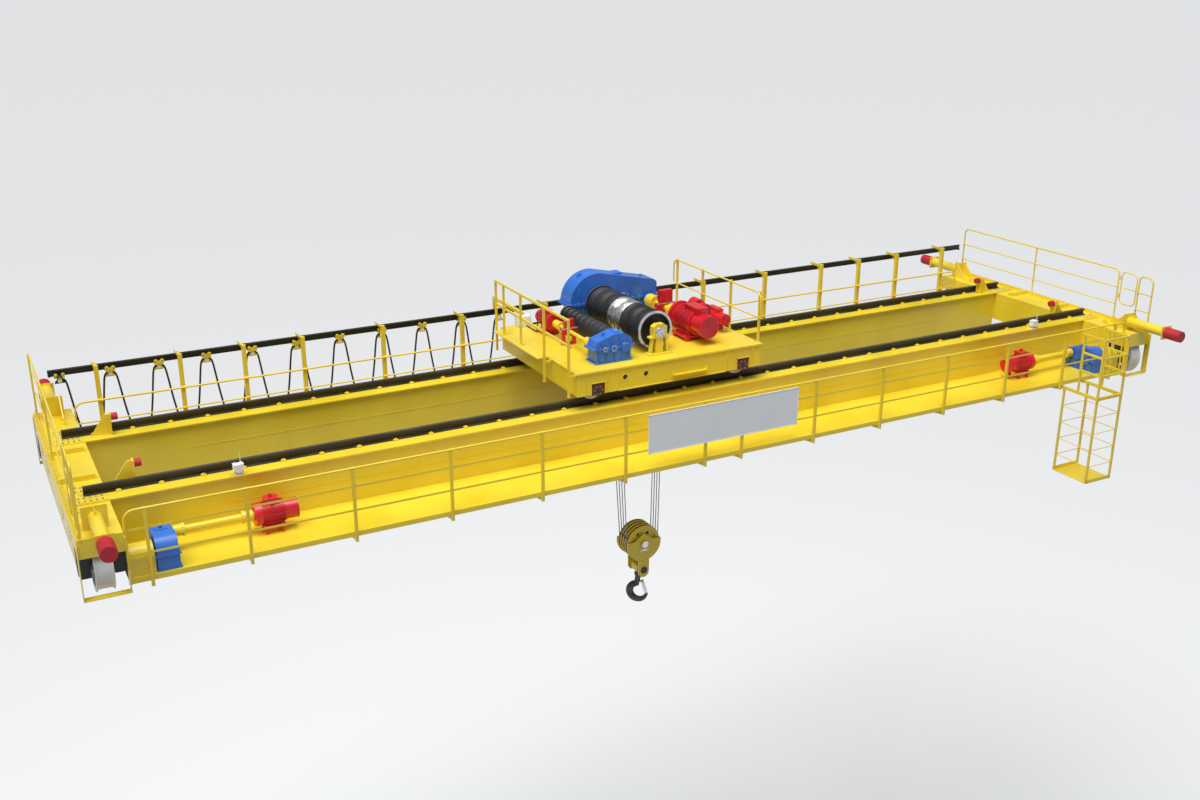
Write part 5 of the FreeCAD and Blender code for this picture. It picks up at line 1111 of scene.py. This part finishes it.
motor_spots = [((HOIST_MOTOR_X + dx, y, 1.386), Z) for dx in (-0.235, 0.235) for y in (-0.75, -0.42)]
motor_spots += [((AUX_MOTOR_X + dx, y, 1.352), Z) for dx in (-0.135, 0.135) for y in (0.80, 0.96)]
motor_spots += [((DRIVE_MOTOR_X + dx, y, 1.361), Z) for dx in (-0.120, 0.120) for y in (-0.36, -0.10)]
bolts("trolley_motor_bolts", "trolley", motor_spots, 0.011)

# %% Brakes: levers, shoes and springs
bm = bmesh.new()
dark = bmesh.new()
for x, z, y, r in ((HOIST_MOTOR_X, 1.62, 0.35, 0.150), (AUX_MOTOR_X, 1.54, 0.06, 0.095)):
    top = z + r + 0.10
    for side in (-1, 1):
        block(bm, (x + side * (r + 0.040), x + side * (r + 0.052)), (y - 0.05, y + 0.05),
              (z - 0.6 * r, z + 0.5 * r), 0.003)
        turned(dark, (x + side * (r + 0.052), y, z), X * side,
               [(0, 0), (0, 0.022), (0.012, 0.022), (0.012, 0)], 16)
        turned(dark, (x + side * (r + 0.020), y - 0.062, z + 0.55 * r), Y,
               [(0, 0), (0, 0.014), (0.124, 0.014), (0.124, 0)], 12)
    turned(dark, (x - r - 0.06, y - 0.060, z + 0.62 * r), X,
           [(0, 0), (0, 0.008), (2 * r + 0.12, 0.008), (2 * r + 0.12, 0)], 10)
hung(bm, "brake_levers", "trolley", red)
hung(dark, "brake_pins", "trolley", steel)

# %% Drum rope, drum flange bolts, bearing cap and coupling bolts
for name, y, length, finish in (("front_grooves", -1.00, 0.64, cast), ("rope", -0.33, 0.46, steel),
                                ("rear_grooves", 0.16, 0.74, cast)):
    grown("main_drum_" + name, "main_drum", wind_tree, [((MAIN_DRUM_X, y, 1.69), Y)], finish,
          Turns=length / 0.023, Radius=0.3105,
          Length=length, Rope=0.0108)
for name, y, length in (("front_grooves", -0.80, 0.84), ("rear_grooves", 0.06, 0.84)):
    grown("aux_drum_" + name, "aux_drum", wind_tree, [((AUX_DRUM_X, y, 1.55), Y)], cast, Turns=length / 0.017,
          Radius=0.1575,
          Length=length, Rope=0.0078)
print("rope wound on both drums")

# %% Flange bands and bolts, bearing caps and coupling bolts
bm = bmesh.new()
for y in (-1.051, 0.921):
    ring(bm, (MAIN_DRUM_X, y, 1.69), Y, 0.300, 0.3395, 0.030, 64)
ring(bm, (MAIN_DRUM_X, -1.054, 1.69), Y, 0.060, 0.120, 0.010, 32)
hung(bm, "main_drum_bands", "main_drum", steel)
bolts("main_drum_bolts", "main_drum", round_spots((MAIN_DRUM_X, -1.050, 1.69), -Y, 0.290, 16), 0.010, cast)
bm = bmesh.new()
for y in (-0.841, 0.931):
    ring(bm, (AUX_DRUM_X, y, 1.55), Y, 0.150, 0.1765, 0.030, 48)
hung(bm, "aux_drum_bands", "aux_drum", steel)
bm = bmesh.new()
disc(bm, (MAIN_DRUM_X, -1.220, 1.69), -Y, 0.100, 0.020, 36, 0.005)
ring(bm, (MAIN_DRUM_X, -1.238, 1.69), -Y, 0.030, 0.062, 0.010, 30)
ring(bm, (AUX_DRUM_X, 1.040, 1.55), Y, 0.060, 0.080, 0.010, 30)
hung(bm, "drum_bearing_covers", "trolley", steel)
cap_spots = round_spots((MAIN_DRUM_X, -1.239, 1.69), -Y, 0.082, 8)
cap_spots += [((MAIN_DRUM_X + dx, y, 1.750), Z) for dx in (-0.115, 0.115) for y in (-1.195, -1.135)]
cap_spots += [((MAIN_DRUM_X + dx, y, 1.313), Z) for dx in (-0.215, 0.215) for y in (-1.240, -1.090)]
cap_spots += [((AUX_DRUM_X + dx, 1.01, 1.592), Z) for dx in (-0.070, 0.070)]
cap_spots += round_spots((HOIST_MOTOR_X, -0.150, 1.62), -Y, 0.128,
                         8) + round_spots((HOIST_MOTOR_X, 0.640, 1.62), -Y, 0.128, 8)
bolts("drum_stand_bolts", "trolley", cap_spots, 0.011)
bm = bmesh.new()
for dx in (-1, 1):
    plate(bm, [(MAIN_DRUM_X + dx * 0.155, -1.118, 1.60), (MAIN_DRUM_X + dx * 0.155, -1.212, 1.60),
               (MAIN_DRUM_X + dx * 0.205, -1.212, 1.592),
               (MAIN_DRUM_X + dx * 0.205, -1.118, 1.592)], (0, 0, 0.02))
block(bm, (9.33, 9.81), (-1.26, -1.07), (1.312, 1.318), 0.002)
hung(bm, "pedestal_trim", "trolley", yellow)

# %% Railings of the trolley: foot plates, bolts and kicking strips
bm = bmesh.new()
foot_spots = []
for y in (-1.42, -0.50, 0.46, 1.38):
    block(bm, (11.455, 11.53), (y - 0.03, y + 0.07), (1.290, 1.300), 0.002)
    foot_spots += [((11.468, y - 0.015, 1.301), Z), ((11.468, y + 0.055, 1.301), Z)]
for y in (0.37, 1.10):
    block(bm, (7.60, 7.70), (y - 0.03, y + 0.066), (1.290, 1.300), 0.002)
    foot_spots += [((7.685, y - 0.015, 1.301), Z), ((7.685, y + 0.050, 1.301), Z)]
for y in (-1.50, -0.57):
    block(bm, (7.755, 7.7698), (y - 0.02, y + 0.056), (1.200, 1.285), 0.002)
    block(bm, (7.622, 7.674), (y - 0.008, y + 0.044), (0.893, 0.903), 0.001)
hung(bm, "trolley_railing_feet", "trolley", yellow)
bolts("trolley_railing_bolts", "trolley", foot_spots, 0.008)

# %% Cable conduits on the deck, from each motor's box to the rear edge
bm = bmesh.new()


def rounded(points, reach=0.05, steps=5):
    """Rounds the corners of a path by short parabolas."""
    points = [Vector(p) for p in points]
    path = [points[0]]
    for before, corner, after in zip(points, points[1:], points[2:]):
        a = corner + (before - corner).normalized() * reach
        b = corner + (after - corner).normalized() * reach
        for i in range(steps + 1):
            t = i / steps
            path.append(a * (1 - t) ** 2 + corner * 2 * t * (1 - t) + b * t * t)
    return path + [points[-1]]


bar(bm, rounded([(10.74, -0.62, 1.85), (10.97, -0.62, 1.85), (10.97, -0.62, 1.305), (10.97, 1.48, 1.305),
                 (8.33, 1.48, 1.305)]), 0.013, 10)
bar(bm, rounded([(11.345, -0.35, 1.66), (11.425, -0.35, 1.66), (11.425, -0.35, 1.305), (11.425, 1.51, 1.305),
                 (8.33, 1.51, 1.305)]), 0.011, 10)
bar(bm, rounded([(8.35, 0.94, 1.68), (8.24, 0.94, 1.68), (8.24, 0.94, 1.305), (8.24, 1.45, 1.305)]), 0.011,
    10)
hung(bm, "deck_conduits", "trolley", cast)
bm = bmesh.new()
block(bm, (8.05, 8.33), (1.40, 1.54), (1.291, 1.50), 0.006)
block(bm, (8.065, 8.315), (1.394, 1.400), (1.305, 1.486), 0.002)
hung(bm, "junction_box", "trolley", white)

# %% [markdown]
# ## Rope falls
# The hoist rope runs in eight falls between the trolley and the hook block. It is drawn as
# a lobed bar with a twist, the way strands look, and every fall runs straight from the
# block up to the trolley. Below the sheaves the rope goes round in the grooves.

# %% Eight falls and the rope round the sheaves
ROPE = 0.011
BLOCK = Vector((9.88, -0.05, -2.87))
drum_side, beam_side = bmesh.new(), bmesh.new()
for dy in (-0.135, -0.045, 0.045, 0.135):
    low = Vector((BLOCK.x - 0.341, BLOCK.y + dy, BLOCK.z))
    high = Vector((9.2585, BLOCK.y + dy * 1.6, 1.69))
    bar(drum_side, [low.lerp(high, k / 90) for k in range(91)], ROPE, 12, lobes=6, twist=28.0)
    low = Vector((BLOCK.x + 0.341, BLOCK.y + dy, BLOCK.z))
    high = Vector((10.281, BLOCK.y + dy, 0.939))
    bar(beam_side, [low.lerp(high, k / 76) for k in range(77)], ROPE, 12, lobes=6, twist=28.0)
falls = closed(drum_side, "falls_to_the_drum", wire, 70)
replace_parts(falls, "drum_falls")
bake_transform(falls)
falls = closed(beam_side, "falls_to_the_beam", wire, 70)
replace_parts(falls, "anchor_falls")
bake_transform(falls)
bm = bmesh.new()
for dy in (-0.135, -0.045, 0.045, 0.135):
    arc = []
    for k in range(25):
        angle = math.pi + math.pi * k / 24
        arc.append(BLOCK + Vector((0.341 * math.cos(angle), dy, 0.341 * math.sin(angle))))
    bar(bm, arc, ROPE, 12, lobes=6, twist=28.0)
hung(bm, "rope_round_the_sheaves", "hook_block", wire, 70)
bm = bmesh.new()
for dy in (-0.135, -0.045, 0.045, 0.135):
    turned(bm, (10.281, BLOCK.y + dy, 0.9395), -Z, [(0, 0), (0, 0.026), (0.05, 0.026), (0.11, 0.016),
                                                    (0.11, 0)], 16)
hung(bm, "rope_sockets", "trolley", steel)

# %% [markdown]
# ## Hook block
# Four sheaves turn between two cheek plates. Each sheave has a deep groove for the rope
# and a web with round holes. The pin's end is a bright cap. The forged hook hangs from a
# cross head below, and a sprung latch closes its mouth.

# %% The sheaves
bm = bmesh.new()
groove_shade = bmesh.new()
for dy in (-0.135, -0.045, 0.045, 0.135):
    centre = BLOCK + Y * dy
    groove = [(0.0135 * math.sin(t), 0.3435 - 0.0135 * math.cos(t)) for t in (-1.2, -0.7, -0.25, 0.25, 0.7,
                                                                              1.2)]
    outline = [(-0.037, 0.285), (-0.038, 0.354), (-0.034, 0.360), (-0.026, 0.359)] + groove
    outline += [(0.026, 0.359), (0.034, 0.360), (0.038, 0.354), (0.037, 0.285), (-0.037, 0.285)]
    turned(bm, centre, Y, outline, 64)
    holed_web(bm, centre, Y, 0.095, 0.288, 0.036, 0.205, 6, 0.022)
    ring(bm, centre - Y * 0.040, Y, 0.045, 0.100, 0.080, 32)
    for side in (-1, 1):
        # Thin black rings on the side walls of each groove: painted shade in the groove.
        ring(groove_shade, centre + Y * side * 0.0142 - Y * 0.0005, Y, 0.3415, 0.3565, 0.001, 64)
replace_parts(hung(bm, "sheaves", "block_sheaves", yellow), "block_sheaves")
hung(groove_shade, "sheave_groove_shade", "block_sheaves", cast)

# %% Cheek plates: pin caps, keeper plates, rims and bolts
bm = bmesh.new()
bright = bmesh.new()
dark = bmesh.new()
block_spots = []
for side in (-1, 1):
    way = Y * side
    face = BLOCK.y + side * 0.215
    disc(bright, (BLOCK.x, BLOCK.y + side * 0.250, BLOCK.z), way, 0.072, 0.016, 36, 0.005)
    ring(bm, (BLOCK.x, face, BLOCK.z), way, 0.046, 0.105, 0.010, 36)
    block(bright, (BLOCK.x - 0.085, BLOCK.x + 0.085), (face, face + side * 0.012),
          (BLOCK.z - 0.150, BLOCK.z - 0.112), 0.002)
    block_spots += [((BLOCK.x + dx, face + side * 0.013, BLOCK.z - 0.131), way) for dx in (-0.06, 0.06)]
    block_spots += [((BLOCK.x + dx, face + side * 0.001, BLOCK.z - 0.265), way) for dx in (-0.16, 0.16)]
    block_spots += [((BLOCK.x + dx, face + side * 0.001, BLOCK.z + 0.010), way) for dx in (-0.32, 0.32)]
    disc(dark, (BLOCK.x, face, BLOCK.z - 0.570), way, 0.068, 0.024, 32, 0.004)
    ring(bm, (BLOCK.x, face, BLOCK.z - 0.570), way, 0.070, 0.088, 0.008, 32)
    plate(bm, [(BLOCK.x - 0.115, face, BLOCK.z - 0.36), (BLOCK.x - 0.115, face, BLOCK.z - 0.46),
               (BLOCK.x + 0.115, face, BLOCK.z - 0.46), (BLOCK.x + 0.115, face, BLOCK.z - 0.36)],
               (0, side * 0.006, 0))
hung(bm, "cheek_trim", "hook_block", yellow)
hung(bright, "pin_caps", "hook_block", steel)
hung(dark, "cross_head_caps", "hook_block", cast)
bolts("block_bolts", "hook_block", block_spots, 0.012)

# %% The forged hook, drawn with its mouth along X and then turned about its shank
HOOK = BLOCK + Vector((0, 0, -1.13))


def turned_to_hook(bm):
    bmesh.ops.rotate(bm, cent=BLOCK, matrix=Matrix.Rotation(math.radians(-45), 3, "Z"), verts=bm.verts[:])


path = [BLOCK + Vector((0, 0, z)) for z in (-0.541, -0.60, -0.66, -0.72, -0.78)]
thick = [0.0545, 0.0545, 0.0545, 0.056, 0.060]
steps = 40
for k in range(steps + 1):
    share = k / steps
    angle = math.radians(100 + 235 * share)
    path.append(HOOK + Vector((0.172 * math.cos(angle), 0, 0.172 * math.sin(angle))))
    thick.append(0.062 * (1.0 + 0.25 * math.sin(math.pi * share)) * (1 - 0.45 * share ** 3))
tip = path[-1] - path[-2]
for grow, size in ((1.6, 0.93), (2.9, 0.74), (3.7, 0.46), (4.0, 0.18)):
    path.append(path[45] + tip * grow)
    thick.append(thick[45] * size)
bm = bmesh.new()
bar(bm, path, 0.06, 26, thick)
for vert in bm.verts:
    if vert.co.z < BLOCK.z - 0.80:
        vert.co.y = BLOCK.y + (vert.co.y - BLOCK.y) * 0.86
block(bm, (9.900, 9.978), (-0.060, -0.040), (-3.789, -3.761), 0.004)
turned(bm, (9.964, -0.112, -3.775), Y, [(0, 0), (0, 0.006), (0.124, 0.006), (0.124, 0)], 14)
turned(bm, (9.88, -0.05, -3.585), -Z, [(0, 0.05), (0, 0.075), (0.03, 0.080), (0.05, 0.075), (0.05, 0.05),
                                       (0, 0.05)], 30)
turned_to_hook(bm)
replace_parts(hung(bm, "forged_hook", "hook", hook_skin, 50), "hook")
bm = bmesh.new()
for y in (-0.110, 0.010):
    turned(bm, (9.964, y, -3.775), Y * (-1 if y < -0.05 else 1),
           [(0, 0), (0, 0.012), (0.006, 0.012), (0.006, 0)], 14)
turned_to_hook(bm)
hung(bm, "latch_pin_heads", "hook", steel)
bm = bmesh.new()
spring = [(9.964 + 0.013 * math.cos(k * 0.6), -0.1095 + 0.0001 * k,
           -3.775 + 0.013 * math.sin(k * 0.6)) for k in range(75)]
spring += [(9.990, -0.1018, -3.82), (9.998, -0.1018, -3.88)]
bar(bm, spring, 0.0012, 8)
turned_to_hook(bm)
hung(bm, "latch_spring", "hook_latch", steel)

# %% End railings: foot rings, gate latch and hinge collars
bm = bmesh.new()
for x in (-0.238, SPAN + 0.238):
    for y in (2.64, 0.42, -1.85, -2.365, -2.70):
        ring(bm, (x, y, 0.600), Z, 0.016, 0.032, 0.010, 22)
hung(bm, "end_railing_feet", "bridge", yellow)
for name, x in (("left", -0.238), ("right", SPAN + 0.238)):
    bm = bmesh.new()
    block(bm, (x - 0.016, x + 0.016), (-2.345, -2.295), (1.335, 1.355), 0.003)
    ring(bm, (x, -1.900, 1.190), Z, 0.0125, 0.017, 0.012, 18)
    ring(bm, (x, -1.900, 1.560), Z, 0.0125, 0.017, 0.012, 18)
    hung(bm, name + "_gate_fittings", name + "_gate", yellow)

# %% [markdown]
# ## Floor, light and camera
# The crane is shown against a pale sheet that reaches past the frame, under wide soft
# lamps, so the shade is gentle and the top faces stay bright. The camera looks down at
# the crane from the front left, with a long lens.

# %% Pale floor, which throws no light back, so that upright faces stay deeper than flat ones
bm = bmesh.new()
bmesh.ops.create_grid(bm, x_segments=1, y_segments=1, size=1200.0, matrix=Matrix.Translation((MID, 0, -15.0)))
mesh = bpy.data.meshes.new("floor")
bm.to_mesh(mesh)
bm.free()
floor = bpy.data.objects.new("floor", mesh)
bpy.context.scene.collection.objects.link(floor)
pale = bpy.data.materials.new("pale floor")
pale.use_nodes = True
pale.node_tree.nodes["Principled BSDF"].inputs["Base Color"].default_value = (0.93, 0.935, 0.94, 1)
pale.node_tree.nodes["Principled BSDF"].inputs["Roughness"].default_value = 0.9
mesh.materials.append(pale)
floor.visible_diffuse = False

# %% Lamps
sky = bpy.data.worlds.new("soft sky")
sky.use_nodes = True
sky.node_tree.nodes["Background"].inputs["Color"].default_value = (0.93, 0.96, 1.0, 1)
sky.node_tree.nodes["Background"].inputs["Strength"].default_value = 0.30
bpy.context.scene.world = sky


def lamp(name, kind, place, target, size, power):
    light = bpy.data.lights.new(name, kind)
    light.energy = power
    if kind == "SUN":
        light.angle = size
    else:
        light.shape = "DISK"
        light.size = size
    thing = bpy.data.objects.new(name, light)
    thing.location = place
    thing.rotation_euler = (Vector(target) - Vector(place)).to_track_quat("-Z", "Y").to_euler()
    bpy.context.scene.collection.objects.link(thing)


lamp("soft daylight", "SUN", (-3, -7, 30), (MID, 0, 0), math.radians(50), 1.95)
lamp("overhead", "AREA", (8, -4, 24), (MID, 0, 0), 16, 3600)
print("two lamps and the sky")

# %% Camera
camera = bpy.data.objects.new("camera", bpy.data.cameras.new("camera"))
bpy.context.scene.collection.objects.link(camera)
camera.data.lens = 38.05
camera.data.sensor_width = 36.0
camera.data.clip_end = 4000.0
camera.location = (-1.388, -19.319, 8.084)
look = Vector((0.4467, 0.8274, -0.3403)).to_track_quat("-Z", "Y").to_matrix().to_4x4()
camera.rotation_euler = (look @ Matrix.Rotation(math.radians(0.165), 4, "Z")).to_euler()
bpy.context.scene.camera = camera
bpy.context.scene.view_settings.view_transform = "Standard"

# %% The end
bpy.context.view_layer.update()
